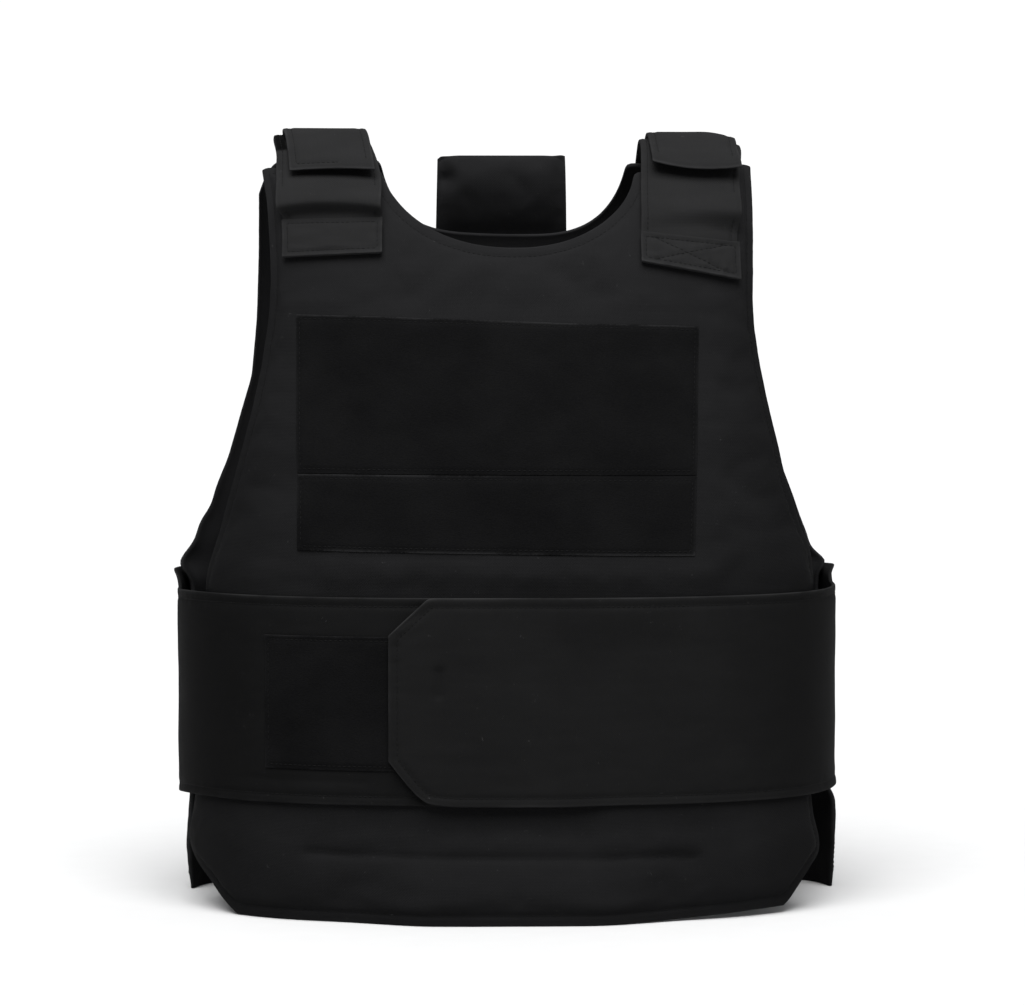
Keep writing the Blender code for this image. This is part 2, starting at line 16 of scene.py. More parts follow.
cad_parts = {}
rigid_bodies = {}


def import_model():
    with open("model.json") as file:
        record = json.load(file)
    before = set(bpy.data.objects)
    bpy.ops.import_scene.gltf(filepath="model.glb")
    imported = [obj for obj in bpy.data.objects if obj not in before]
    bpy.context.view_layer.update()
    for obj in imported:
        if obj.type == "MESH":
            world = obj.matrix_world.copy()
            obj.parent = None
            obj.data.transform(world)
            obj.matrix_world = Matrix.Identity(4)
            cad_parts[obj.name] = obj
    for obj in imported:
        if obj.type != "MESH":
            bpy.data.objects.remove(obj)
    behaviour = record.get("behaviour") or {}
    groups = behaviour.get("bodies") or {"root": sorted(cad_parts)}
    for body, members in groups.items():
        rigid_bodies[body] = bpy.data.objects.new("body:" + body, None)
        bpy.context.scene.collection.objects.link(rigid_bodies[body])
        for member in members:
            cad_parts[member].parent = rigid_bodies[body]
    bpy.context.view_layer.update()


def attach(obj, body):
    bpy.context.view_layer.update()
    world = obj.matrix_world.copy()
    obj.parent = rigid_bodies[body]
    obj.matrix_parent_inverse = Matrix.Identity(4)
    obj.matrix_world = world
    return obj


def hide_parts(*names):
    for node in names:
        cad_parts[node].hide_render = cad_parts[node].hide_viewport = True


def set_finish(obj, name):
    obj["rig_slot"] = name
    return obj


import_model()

# %% [markdown]
# ## Tools for nodes
# Every finish is a small tree of shader nodes. These helpers add a node and wire it, make a group with
# named sockets and start a finish, so that the trees below read like recipes.


# %% Node helpers
def connect(tree, node, inputs):
    """Gives inputs of a node, by name or number, their socket or value."""
    for key, value in inputs.items():
        if isinstance(value, bpy.types.NodeSocket):
            tree.links.new(value, node.inputs[key])
        else:
            node.inputs[key].default_value = value


def add_node(tree, kind, inputs=None, **settings):
    node = tree.nodes.new("ShaderNode" + kind)
    for key, value in settings.items():
        setattr(node, key, value)
    connect(tree, node, inputs or {})
    return node


def calculate(tree, operation, *values):
    return add_node(tree, "Math", dict(enumerate(values)), operation=operation).outputs[0]


def grain(tree, place, scale, **inputs):
    return add_node(tree, "TexNoise", {"Vector": place, "Scale": scale, **inputs}).outputs["Fac"]


def stretch(tree, place, factors):
    return add_node(tree, "VectorMath", {0: place, 1: factors}, operation="MULTIPLY").outputs[0]


def ramp(tree, value, start, end, low=0.0, high=1.0, kind="LINEAR"):
    """Low until the value is at start, and high from end on."""
    return add_node(tree, "MapRange", {"Value": value, "From Min": start, "From Max": end, "To Min": low,
                                       "To Max": high}, interpolation_type=kind).outputs[0]


def painted(tree, name):
    """What a piece's points carry under a name."""
    return add_node(tree, "Attribute", attribute_name=name).outputs["Fac"]


def blend(tree, share, low, high):
    """A colour between two. Each is a socket, or a grey and its blue part."""
    low, high = ((part[0], *part, 1.0) if isinstance(part, tuple) else part for part in (low, high))
    return add_node(tree, "Mix", {0: share, 6: low, 7: high}, data_type="RGBA").outputs[2]


def start_group(name, numbers, outputs):
    """A group that takes a place and numbers: its tree, what it is given and where its results go."""
    group = bpy.data.node_groups.new(name, "ShaderNodeTree")
    group.interface.new_socket(name="Place", in_out="INPUT", socket_type="NodeSocketVector")
    for label, value in numbers.items():
        socket = group.interface.new_socket(name=label, in_out="INPUT", socket_type="NodeSocketFloat")
        socket.default_value = value
    for label in outputs:
        group.interface.new_socket(name=label, in_out="OUTPUT", socket_type="NodeSocketFloat")
    return group, group.nodes.new("NodeGroupInput").outputs, group.nodes.new("NodeGroupOutput")


def start_finish(name):
    """A material, its tree, its shader and the place on the object."""
    finish = bpy.data.materials.new(name)
    finish.use_nodes = True
    tree = finish.node_tree
    return finish, tree, tree.nodes["Principled BSDF"], add_node(tree, "TexCoord").outputs["Object"]


def plain_finish(name, scale, dark, light, roughness, specular):
    """A finish of two tones in a fine grain."""
    finish, tree, shader, place = start_finish(name)
    connect(tree, shader, {"Base Color": blend(tree, grain(tree, place, scale), dark, light),
                           "Roughness": roughness, "Specular IOR Level": specular})
    return finish


print("node helpers are ready")

# %% [markdown]
# ## Camera
# The photograph was taken from about three metres, a little to the left of the middle and a little above
# the waist wing, looking slightly down. A long lens at that place gives the same outline. A camera that is
# tilted, and not shifted, keeps the vest in the middle when it is turned to look from other sides.

# %% Camera
PHOTO_WIDTH = 1025
FOCAL_PIXELS = 4294
SENSOR_MM = 36
CAMERA_DISTANCE = 3.0
CAMERA_HEIGHT = 0.427
CAMERA_SIDE_TURN = math.radians(-1.3)
CAMERA_AIM_TURN = math.radians(-0.067)
CAMERA_TILT = math.radians(2.829)

camera_data = bpy.data.cameras.new("camera")
camera_data.sensor_width = SENSOR_MM
camera_data.lens = FOCAL_PIXELS / PHOTO_WIDTH * SENSOR_MM
camera = bpy.data.objects.new("camera", camera_data)
bpy.context.scene.collection.objects.link(camera)
camera.location = (CAMERA_DISTANCE * math.sin(CAMERA_SIDE_TURN),
                   -CAMERA_DISTANCE * math.cos(CAMERA_SIDE_TURN), CAMERA_HEIGHT)
camera.rotation_euler = (math.pi / 2 - CAMERA_TILT, 0.0, CAMERA_SIDE_TURN + CAMERA_AIM_TURN)
bpy.context.scene.camera = camera
print("lens, mm:", round(camera_data.lens, 1))

# %% [markdown]
# ## Light and floor
# Black cloth shows its folds only by how much light from above each part of it gets. The studio here is a
# room with a soft ceiling and dim walls, and one wide soft light high up in front. The camera sees the walls
# as white, as in a cut-out product picture.

# %% Light
SKY_STRENGTH = 0.95
HORIZON_STRENGTH = 0.04
WALL_STRENGTH = 1.05
KEY_STRENGTH = 6.2
KEY_HEIGHT = math.radians(60)
KEY_SIDE = math.radians(-4)
KEY_SOFTNESS = math.radians(50)

key_data = bpy.data.lights.new("key_light", "SUN")
key_data.energy = KEY_STRENGTH
key_data.angle = KEY_SOFTNESS
key_light = bpy.data.objects.new("key_light", key_data)
bpy.context.scene.collection.objects.link(key_light)
key_light.location = (0.0, -2.0, 2.5)
key_light.rotation_euler = (math.pi / 2 - KEY_HEIGHT, 0.0, KEY_SIDE)

room = bpy.data.worlds.new("room")
bpy.context.scene.world = room
room.use_nodes = True
room_tree = room.node_tree
room_tree.nodes.clear()
way_up = add_node(room_tree, "SeparateXYZ", {0: add_node(room_tree, "TexCoord").outputs["Generated"]})
ceiling = ramp(room_tree, way_up.outputs["Z"], 0.0, 1.0, HORIZON_STRENGTH, SKY_STRENGTH)
lit = add_node(room_tree, "Background", {"Color": (0.97, 0.98, 1.0, 1.0), "Strength": ceiling})
walls = add_node(room_tree, "Background", {"Color": (1.0, 1.0, 1.0, 1.0), "Strength": WALL_STRENGTH})
seen = add_node(room_tree, "LightPath").outputs["Is Camera Ray"]
shown = add_node(room_tree, "MixShader", {0: seen, 1: lit.outputs[0], 2: walls.outputs[0]})
add_node(room_tree, "OutputWorld", {0: shown.outputs[0]})
bpy.context.scene.view_settings.view_transform = "Standard"

# %% [markdown]
# ## Weave
# The cover is a plain weave of thick nylon yarn: over one, under one, both ways. Seen close, it is a
# chequer of small ribs that stand up and lie across in turn. The group works in metres on the cloth's own
# map, so the threads follow each piece round its bends.

# %% Weave group
weave, given, weave_out = start_group("woven yarn", {"Yarn width": 0.0009}, ("Height", "Tone"))
split = add_node(weave, "SeparateXYZ", {0: given["Place"]})
per_yarn = calculate(weave, "DIVIDE", math.pi, given["Yarn width"])
across, along = (calculate(weave, "SINE", calculate(weave, "MULTIPLY", split.outputs[axis], per_yarn))
                 for axis in (0, 1))
chequer = calculate(weave, "GREATER_THAN", calculate(weave, "MULTIPLY", across, along), 0.0)
rib = add_node(weave, "Mix", {0: chequer, 2: calculate(weave, "ABSOLUTE", along),
                              3: calculate(weave, "ABSOLUTE", across)}).outputs[0]
uneven = calculate(weave, "ADD", grain(weave, given["Place"], 700.0), 0.5)
height = calculate(weave, "MULTIPLY", rib, uneven)
tone = calculate(weave, "MULTIPLY_ADD", chequer, 0.1, calculate(weave, "MULTIPLY", height, 0.5))
connect(weave, weave_out, {"Height": height, "Tone": tone})
print("weave nodes:", len(weave.nodes))

# %% [markdown]
# ## Cloth marks and painted shading
# Even new black cloth isn't one black. It has broad pale and dark areas where it was folded and chafed,
# and a few specks of lint. The sides and low down get painted shade, and high up painted light, as the
# light falls from above. The group puts out a soft mottle and a mask for each other mark.

# %% Marks and painted shading group
marks_and_painted_shading, given, handling_out = start_group("handling marks", {"Mottle size": 18.0},
                                            ("Mottle", "Lint", "Sides", "Low", "High"))
broad = grain(marks_and_painted_shading, given["Place"], given["Mottle size"], Detail=4.0, Roughness=0.6)
streaks = grain(marks_and_painted_shading, stretch(marks_and_painted_shading, given["Place"], (0.35, 1.0, 2.4)), 60.0, Detail=3.0)
specks = grain(marks_and_painted_shading, given["Place"], 420.0, Detail=1.0, Distortion=1.5)
split = add_node(marks_and_painted_shading, "SeparateXYZ", {0: given["Place"]})
# Mask for painted shade on the sides, which face away from the light.
beside = ramp(marks_and_painted_shading, calculate(marks_and_painted_shading, "ABSOLUTE", split.outputs[0]), 0.125, 0.215, kind="SMOOTHSTEP")
# Mask for painted light high up, where the cloth faces the light from above.
high_up = ramp(marks_and_painted_shading, split.outputs[2], 0.4, 0.495, kind="SMOOTHSTEP")
connect(marks_and_painted_shading, handling_out, {
    "Mottle": calculate(marks_and_painted_shading, "MULTIPLY_ADD", streaks, 0.4, calculate(marks_and_painted_shading, "MULTIPLY", broad, 0.6)),
    "Lint": ramp(marks_and_painted_shading, specks, 0.77, 0.82),
    "Sides": calculate(marks_and_painted_shading, "MULTIPLY", beside, calculate(marks_and_painted_shading, "SUBTRACT", 1.0, high_up)),
    # Low masks painted shade low down, away from the light from above.
    "Low": ramp(marks_and_painted_shading, split.outputs[2], 0.34, 0.22, kind="SMOOTHSTEP"), "High": high_up})
print("handling nodes:", len(marks_and_painted_shading.nodes))

# %% [markdown]
# ## Loop pile
# The dark fields are the soft half of a hook-and-loop closure: a mat of fine loops, brushed a little one
# way. It throws almost no light back. Two noises, one fine and one drawn out sideways, make its nap.

# %% Loop pile group
pile, given, pile_out = start_group("loop pile", {}, ("Height", "Tone"))
brushed = stretch(pile, given["Place"], (0.7, 1.0, 1.0))
loops = add_node(pile, "TexVoronoi", {"Vector": brushed, "Scale": 1300.0}).outputs["Distance"]
fuzz = grain(pile, brushed, 800.0, Detail=3.0)
nap = grain(pile, brushed, 34.0, Detail=4.0)
connect(pile, pile_out, {
    "Height": calculate(pile, "MULTIPLY_ADD", loops, -0.6, fuzz),
    "Tone": calculate(pile, "MULTIPLY_ADD", nap, 0.7, calculate(pile, "MULTIPLY", fuzz, 0.3))})
print("pile nodes:", len(pile.nodes))

# %% [markdown]
# ## The finishes
# Five finishes share the groups: the panels' nylon, the straps' nylon, made a shade greyer as painted light
# from above, the wings' smoother nylon, the loop cloth, and the thread. Each has a dark and a light black,
# which the marks mix.


# %% Cloth finishes
LINT = (0.1, 0.1)
# Near black, for a painted shadow in the notch beside the left flap.
NOTCH_SHADOW = (0.0003, 0.0003)
# How dark the painted shade on the sides gets.
SIDE_SHADE = 0.42
# How much lighter an edge gets, part by rubbing and part as painted highlight.
WORN_LIT_TO = 2.6


def woven_finish(name, dark, light, yarn, relief, roughness, low_shade=0.0, top_light_paint=0.0):
    """Nylon between a dark and a light black. It can take painted shade low down and painted light high up.
    """
    finish, tree, shader, place = start_finish(name)
    cloth_map = add_node(tree, "UVMap", uv_map="cloth").outputs[0]
    yarns = add_node(tree, "Group", {"Place": cloth_map, "Yarn width": yarn}, node_tree=weave).outputs
    marks = add_node(tree, "Group", {"Place": place}, node_tree=marks_and_painted_shading).outputs

    def times(colour, factor):
        return tuple(factor * part for part in colour)

    share = calculate(tree, "MULTIPLY_ADD", marks["Mottle"], 1.5, -0.45)
    share = calculate(tree, "MULTIPLY_ADD", yarns["Tone"], 0.45, share)
    # Painted light: the cloth is made lighter high up, where it faces the light from above.
    share = calculate(tree, "MULTIPLY_ADD", marks["High"], top_light_paint, share)
    colour = blend(tree, share, dark, light)
    colour = blend(tree, calculate(tree, "MULTIPLY", marks["Lint"], 0.25), colour, LINT)
    # Painted shade: the cloth is darkened on the sides and low down, away from the light.
    shade = calculate(tree, "MAXIMUM", calculate(tree, "MULTIPLY", marks["Sides"], SIDE_SHADE),
                      calculate(tree, "MULTIPLY", marks["Low"], low_shade))
    colour = blend(tree, shade, colour, times(dark, 0.25))
    # Painted shade darkens the under faces; towards the sides, where the inside shows at the armholes,
    # painted light lifts them.
    lining = blend(tree, marks["Sides"], times(dark, 0.9), times(dark, 1.45))
    colour = blend(tree, painted(tree, "lining"), colour, lining)
    # Painted shadow: a near-black patch on the left strap's end, in the notch beside the flap.
    colour = blend(tree, painted(tree, "loops"), colour, NOTCH_SHADOW)
    # Edges are lightened, part by rubbing and part as painted highlight where they catch the light from
    # above.
    patchy = ramp(tree, marks["Mottle"], 0.42, 0.62, 0.1, 0.55)
    worn = calculate(tree, "MULTIPLY", painted(tree, "rubbed"), patchy)
    bump = add_node(tree, "Bump", {"Height": yarns["Height"], "Strength": relief, "Distance": 0.0003})
    connect(tree, shader, {
        "Base Color": blend(tree, worn, colour, times(light, WORN_LIT_TO)),
        "Roughness": calculate(tree, "MULTIPLY_ADD", marks["Mottle"], 0.16, roughness - 0.08),
        "Normal": bump.outputs[0], "Specular IOR Level": 0.03})
    return finish


# The panels take painted shade low down and painted light high up.
panel_nylon = woven_finish("panel_nylon", (0.0056, 0.0059), (0.0092, 0.0096), 0.0009, 0.55, 0.8, 0.18, 0.6)
# The neck tab's copy of the panel nylon, in tones set for the light it gets: painted light and shade.
tab_nylon = woven_finish("tab_nylon", (0.007, 0.0074), (0.0102, 0.0107), 0.0009, 0.55, 0.8)
# The straps, patches and flaps use the panel cloth made lighter: painted light from above on the shoulders.
strap_nylon = woven_finish("strap_nylon", (0.009, 0.0092), (0.0142, 0.0145), 0.0009, 0.55, 0.78)
wing_nylon = woven_finish("wing_nylon", (0.0044, 0.0045), (0.0076, 0.0077), 0.0007, 0.35, 0.74)
# The left wing's copy of the wing nylon is darker: painted shade, as that wing gets less light.
under_wing_nylon = woven_finish("under_wing_nylon", (0.0028, 0.0029), (0.006, 0.0061), 0.0007, 0.35, 0.74)
print("woven finishes:", [m.name for m in bpy.data.materials])

# %% Loop cloth and thread
loop_cloth, tree, shader, place = start_finish("loop_cloth")
loops = add_node(tree, "Group", {"Place": place}, node_tree=pile).outputs
share = calculate(tree, "MULTIPLY_ADD", loops["Tone"], 2.0, -0.5)
# The loop cloth's edges are lightened too, part by rubbing and part as painted highlight.
worn = calculate(tree, "MULTIPLY", painted(tree, "rubbed"), ramp(tree, loops["Tone"], 0.42, 0.56, 0.05, 0.85))
colour = blend(tree, share, (0.0016, 0.00175), (0.0041, 0.00425))
bump = add_node(tree, "Bump", {"Height": loops["Height"], "Strength": 0.6, "Distance": 0.0004})
connect(tree, shader, {"Base Color": blend(tree, worn, colour, (0.016, 0.0165)), "Normal": bump.outputs[0],
                       "Roughness": 0.95, "Specular IOR Level": 0.04})
thread = plain_finish("thread", 900.0, (0.0024, 0.0025), (0.0058, 0.006), 0.6, 0.06)
print("finishes:", [m.name for m in bpy.data.materials])

# %% [markdown]
# ## Floor
# The vest stands on a pale sweep of paper. It is so bright that only the soft shadow at the hem shows.

# %% Floor
bpy.ops.object.select_all(action="DESELECT")
bpy.ops.mesh.primitive_grid_add(x_subdivisions=24, y_subdivisions=24, size=24.0, location=(0.0, 4.0, 0.0))
floor = bpy.context.object
floor.name = "floor"
bpy.ops.object.transform_apply(location=True, rotation=True, scale=True)
floor.data.materials.append(plain_finish("paper", 40.0, (0.452, 0.452), (0.47, 0.47), 0.9, 0.1))
print("floor, m:", tuple(floor.dimensions))

# %% [markdown]
# ## The body form
# A vest is drafted on a body form, and so is this one. The form is a ring at each height, wide at the side
# and round in front. Above the chest it closes over the shoulders in an arch. A place on it is given as on
# a tailor's dummy: a girth round from the centre line, and a rise up from the hem.

# %% Sizes of the form
SIDE_Y = 0.036
FRONT_SQUARENESS = 2.7
BACK_SQUARENESS = 3.2
SPRING = 0.4
CREST_HEIGHT = 0.533
CREST_Y = 0.018
SHOULDER_X = 0.13
FRONT_FOOT_LEAN = 0.3
BACK_FOOT_LEAN = -0.1
FOOT_HANDLE = 0.072
CREST_HANDLE = 0.052
ARCH_STEPS = 80
RIGHT_CREST_DROP = 0.0028
RIGHT_DROP_HALF_BAND = 0.05
RIGHT_CORNER_DROP = 0.005
RIGHT_CORNER_START = 0.136
RIGHT_CORNER_END = 0.168
RINGS = np.array([
    (0.0, 0.227, -0.121, 0.127), (0.04, 0.228, -0.124, 0.13), (0.083, 0.228, -0.127, 0.132),
    (0.15, 0.2285, -0.129, 0.133), (0.22, 0.2285, -0.129, 0.133), (0.26, 0.2275, -0.126, 0.132),
    (0.3, 0.2225, -0.12, 0.13), (0.35, 0.2135, -0.11, 0.127), (0.4, 0.206, -0.095, 0.122)])
GIRTH_RING_HEIGHT = 0.15
RING_SOFTENING = 0.018


# %% The form's rings
def smooth(low, high, value):
    """0 below low, 1 above high, and a soft step between them."""
    part = np.clip((value - low) / (high - low), 0, 1)
    return part * part * (3 - 2 * part)


def run_along(points):
    """How far along a line each of its points lies."""
    return np.concatenate([[0.0], np.cumsum(np.linalg.norm(np.diff(points, axis=0), axis=1))])


def ring(height):
    """Half width, y of the front and y of the back of the form at a height."""
    near = (height - RING_SOFTENING, height, height + RING_SOFTENING)
    return [sum(np.interp(h, RINGS[:, 0], RINGS[:, k]) for h in near) / len(near) for k in (1, 2, 3)]


def ring_point(angle, height):
    """x and y on the form: angle 0 is the front centre, a half turn is the back centre."""
    half_width, front_y, back_y = ring(height)
    at_front = angle <= math.pi / 2
    power = 2.0 / np.where(at_front, FRONT_SQUARENESS, BACK_SQUARENESS)
    centre_y = np.where(at_front, front_y, back_y)
    x = half_width * np.abs(np.sin(angle)) ** power
    return x, SIDE_Y + (centre_y - SIDE_Y) * np.abs(np.cos(angle)) ** power


ANGLES = np.linspace(0.0, math.pi, 2881)
RING_PLACES = np.stack(ring_point(ANGLES, np.full_like(ANGLES, GIRTH_RING_HEIGHT)), axis=-1)
GIRTHS = run_along(RING_PLACES)
HALF_GIRTH = GIRTHS[-1]
print("girth of the form, mm:", round(2000 * HALF_GIRTH))


def girth_of(x, height, side):
    """The signed girth, from that side's centre line, of a place whose x is given."""
    half_width = ring(np.minimum(height, SPRING))[0]
    squareness = FRONT_SQUARENESS if side == "front" else BACK_SQUARENESS
    angle = np.arcsin(np.minimum(1, (np.abs(x) / half_width) ** (squareness / 2)))
    from_front = np.interp(angle if side == "front" else math.pi - angle, ANGLES, GIRTHS)
    return np.copysign(from_front if side == "front" else HALF_GIRTH - from_front, x)


# %% The form's shoulders
def reach(x, squareness):
    """How much of the form's depth is left at x, on the ring where the shoulders spring."""
    half_width = ring(SPRING)[0]
    return (1 - np.minimum(1, np.abs(x) / half_width) ** squareness) ** (1.0 / squareness)


def quarter_arch(side):
    """Points (y, z) of half a shoulder arch, from its foot on that side to the crest."""
    at_front = side == "front"
    centre_y = ring(SPRING)[1 if at_front else 2]
    depth = reach(SHOULDER_X, FRONT_SQUARENESS if at_front else BACK_SQUARENESS)
    foot = np.array([SIDE_Y + (centre_y - SIDE_Y) * depth, SPRING])
    crest = np.array([CREST_Y, CREST_HEIGHT])
    lean = np.array([FRONT_FOOT_LEAN if at_front else BACK_FOOT_LEAN, 1.0])
    lower_handle = foot + FOOT_HANDLE * lean / np.linalg.norm(lean)
    upper_handle = crest - np.array([CREST_HANDLE if at_front else -CREST_HANDLE, 0.0])
    ahead = np.linspace(0, 1, ARCH_STEPS + 1)[:, None]
    behind = 1 - ahead
    return (foot * behind**3 + 3 * lower_handle * behind**2 * ahead
            + 3 * upper_handle * behind * ahead**2 + crest * ahead**3)


ARCH = np.concatenate([quarter_arch("front"), quarter_arch("back")[-2::-1]])
ARCH_RUN = run_along(ARCH)
ARCH_LENGTH = ARCH_RUN[-1]
CREST_RUN = ARCH_RUN[ARCH_STEPS]
print("shoulder arch, mm:", round(1000 * ARCH_LENGTH))


def arch_point(x, run):
    """Points of the shoulders, run metres along the arch from its front foot."""
    _, front_y, back_y = ring(SPRING)
    y = np.interp(run, ARCH_RUN, ARCH[:, 0])
    z = np.interp(run, ARCH_RUN, ARCH[:, 1])
    share = run / ARCH_LENGTH
    front_bow = np.maximum(0, 1 - 2 * share) * (front_y - SIDE_Y)
    back_bow = np.maximum(0, 2 * share - 1.0) * (back_y - SIDE_Y)
    y = y + front_bow * (reach(x, FRONT_SQUARENESS) - reach(SHOULDER_X, FRONT_SQUARENESS))
    y = y + back_bow * (reach(x, BACK_SQUARENESS) - reach(SHOULDER_X, BACK_SQUARENESS))
    on_right = smooth(-RIGHT_DROP_HALF_BAND, RIGHT_DROP_HALF_BAND, x)
    z = z - RIGHT_CREST_DROP * on_right * (z - SPRING) / (CREST_HEIGHT - SPRING)
    near_crest = smooth(1 / 3, 1 / 2, share) * (1 - smooth(1 / 2, 2 / 3, share))
    z = z - RIGHT_CORNER_DROP * smooth(RIGHT_CORNER_START, RIGHT_CORNER_END, x) * near_crest
    return np.stack([x, y, z], axis=-1)


def run_at(height, side):
    """How far along the arch, from its front foot, a height is reached on that side."""
    if side == "front":
        return np.interp(height, ARCH[:ARCH_STEPS + 1, 1], ARCH_RUN[:ARCH_STEPS + 1])
    return np.interp(-height, -ARCH[ARCH_STEPS:, 1], ARCH_RUN[ARCH_STEPS:])


def rise_of(height, side):
    """The height itself, and above the arches' feet the way along the arch."""
    run = run_at(height, side)
    return np.where(height <= SPRING, height,
                    SPRING + (run if side == "front" else ARCH_LENGTH - run))


def body_point(side, girth, rise):
    """Points of the form by girth from that side's centre line, and rise."""
    from_front = np.abs(girth) if side == "front" else HALF_GIRTH - np.abs(girth)
    low = np.minimum(rise, SPRING)
    x, y = ring_point(np.interp(from_front, GIRTHS, ANGLES), low)
    x = np.copysign(x, girth)
    above = rise - SPRING
    over = arch_point(x, above if side == "front" else ARCH_LENGTH - above)
    return np.where((rise <= SPRING)[:, None], np.stack([x, y, low], axis=-1), over)


# %% [markdown]
# ## Folds
# Cloth over a soft pad never lies quite true. Long folds are given by where they start and end, how wide
# they are and how high they stand; a crease is below zero. On top of them come slow waves, which every
# layer shares, so that a wing or a field stays just above the panel it lies on.

# %% Folds of the cloth
FRONT_FOLDS = (
    (-0.13, 0.049, 0.122, 0.045, 0.012, -0.002), (-0.12, 0.24, 0.135, 0.237, 0.009, 0.0026),
    (-0.137, 0.048, 0.124, 0.045, 0.0036, -0.0012), (-0.137, 0.056, 0.124, 0.053, 0.006, 0.001),
    (0.141, 0.25, 0.139, 0.395, 0.012, 0.0024), (-0.15, 0.3, -0.205, 0.262, 0.014, -0.002),
    (0.152, 0.3, 0.205, 0.262, 0.014, -0.0022), (-0.06, 0.432, 0.05, 0.428, 0.022, -0.0024),
    (-0.15, 0.03, -0.185, 0.062, 0.024, 0.0022), (0.15, 0.03, 0.185, 0.062, 0.024, 0.0022),
    (0.228, 0.0, 0.228, 0.045, 0.03, 0.0075), (-0.05, 0.0, 0.05, 0.0, 0.045, 0.016))
BACK_FOLDS = (
    (-0.15, 0.048, 0.15, 0.048, 0.014, -0.0018), (0.0, 0.33, 0.0, 0.43, 0.05, -0.003),
    (-0.15, 0.31, -0.205, 0.262, 0.016, -0.0022), (0.15, 0.31, 0.205, 0.262, 0.016, -0.0022),
    (0.228, 0.0, 0.228, 0.05, 0.022, 0.0118), (0.228, 0.066, 0.228, 0.067, 0.008, 0.0035),
    (-0.228, 0.0, -0.228, 0.022, 0.026, 0.0026), (-0.228, 0.2324, -0.228, 0.2337, 0.008, 0.0062),
    (-0.226, 0.243, -0.218, 0.26, 0.015, 0.0046),
    (0.228, 0.2345, 0.228, 0.235, 0.0058, 0.008))
SLOW_WAVE = 0.0007
SLOW_WAVE_SIZE = (0.085, 0.085, 0.045)
QUICK_WAVE = 0.00028
QUICK_WAVE_SIZE = (0.03, 0.03, 0.016)


def waves(points, size):
    """Soft noise between about -1 and 1 at each point; size is the length of a wave each way."""
    return np.array([noise.noise(Vector(p)) for p in points / np.array(size)])


def fold_lift(points, folds):
    """How far the long folds raise the cloth at each point."""
    lift = np.zeros(len(points))
    for x0, z0, x1, z1, half_width, ridge in folds:
        start, along = np.array([x0, z0]), np.array([x1 - x0, z1 - z0])
        here = points[:, [0, 2]] - start
        share = np.clip(here @ along / (along @ along), 0, 1)
        away = np.linalg.norm(here - share[:, None] * along, axis=1) / half_width
        lift += ridge * np.exp(-away * away)
    return lift


def waves_only(points):
    return SLOW_WAVE * waves(points, SLOW_WAVE_SIZE) + QUICK_WAVE * waves(points, QUICK_WAVE_SIZE)


def relief(points):
    """Folds and waves together."""
    folds = np.where(points[:, 1] < SIDE_Y, fold_lift(points, FRONT_FOLDS), fold_lift(points, BACK_FOLDS))
    return folds + waves_only(points)


print("folds:", len(FRONT_FOLDS) + len(BACK_FOLDS))

# %% [markdown]
# ## Laying cloth on the form
# Each piece is cut flat and then laid on the form, one face at one distance from it and the other face at
# another. The way out from the form is found by comparing each point with its neighbours.

# %% Laying
NORMAL_STEP = 0.0001
HEM_BAND = 0.03


def outward(base, a, b, level_hem):
    """The direction straight out from a surface at each place."""
    across = base(a + NORMAL_STEP, b) - base(a - NORMAL_STEP, b)
    up = base(a, b + NORMAL_STEP) - base(a, b - NORMAL_STEP)
    normal = np.cross(across, up)
    here = base(a, b)
    from_middle = np.stack([here[:, 0], here[:, 1] - SIDE_Y,
                            2 * np.maximum(0, here[:, 2] - SPRING)], axis=-1)
    normal *= np.sign((normal * from_middle).sum(axis=1))[:, None]
    normal /= np.linalg.norm(normal, axis=1)[:, None]
    if level_hem:
        normal[:, 2] *= smooth(0, HEM_BAND, here[:, 2])
        normal /= np.linalg.norm(normal, axis=1)[:, None]
    return normal


def surface(base, bump=relief, level_hem=True):
    """A function that gives the point at a lift from a folded surface, for each place on it."""
    def place(a, b, lift):
        here = base(a, b)
        return here + outward(base, a, b, level_hem) * (bump(here) + lift)[:, None]
    return place


on_front = surface(lambda girth, rise: body_point("front", girth, rise))
on_back = surface(lambda girth, rise: body_point("back", girth, rise))
on_shoulder = surface(arch_point, bump=waves_only, level_hem=False)
print("a place on the front, m:", on_front(np.zeros(1), np.full(1, HEM_BAND), 0.0)[0].round(4))


# %% [markdown]
# ## Cutting cloth
# A piece starts as a flat grid whose edges are extruded up, so it has two faces and a rim. Two tables give
# where each crossing of the grid goes: that is the cutting pattern, and its border is the cut edge. The
# pattern is also kept as the cloth's map, in metres, which the weave follows.

# %% Cutting
# Width of the lightened edge, part rubbing and part painted highlight.
WORN_LIT_BAND = 0.0013
NO_FADE = (9.0, 10.0)


def deselect():
    bpy.ops.object.select_all(action="DESELECT")


def take_up(piece):
    deselect()
    piece.select_set(True)
    bpy.context.view_layer.objects.active = piece


def points_of(piece):
    flat = np.empty(3 * len(piece.data.vertices))
    piece.data.vertices.foreach_get("co", flat)
    return flat.reshape(-1, 3)


def set_points(piece, points):
    piece.data.vertices.foreach_set("co", points.ravel())
    piece.data.update()


def edit_all(step, **settings):
    """Takes one step on the whole of the active piece in edit mode."""
    bpy.ops.object.mode_set(mode="EDIT")
    bpy.ops.mesh.select_all(action="SELECT")
    step(**settings)
    bpy.ops.object.mode_set(mode="OBJECT")


def paint(piece, name, values):
    """Lets a piece's points carry values under a name, for its finish."""
    piece.data.attributes.new(name, "FLOAT", "POINT").data.foreach_set("value", values)


def border_of(pattern):
    """The cut edge of a pattern, once round."""
    a, b = pattern
    ring_of = [np.concatenate([t[:, 0], t[-1, 1:], t[-2::-1, -1], t[0, -2:0:-1]]) for t in (a, b)]
    return np.stack(ring_of, axis=-1)


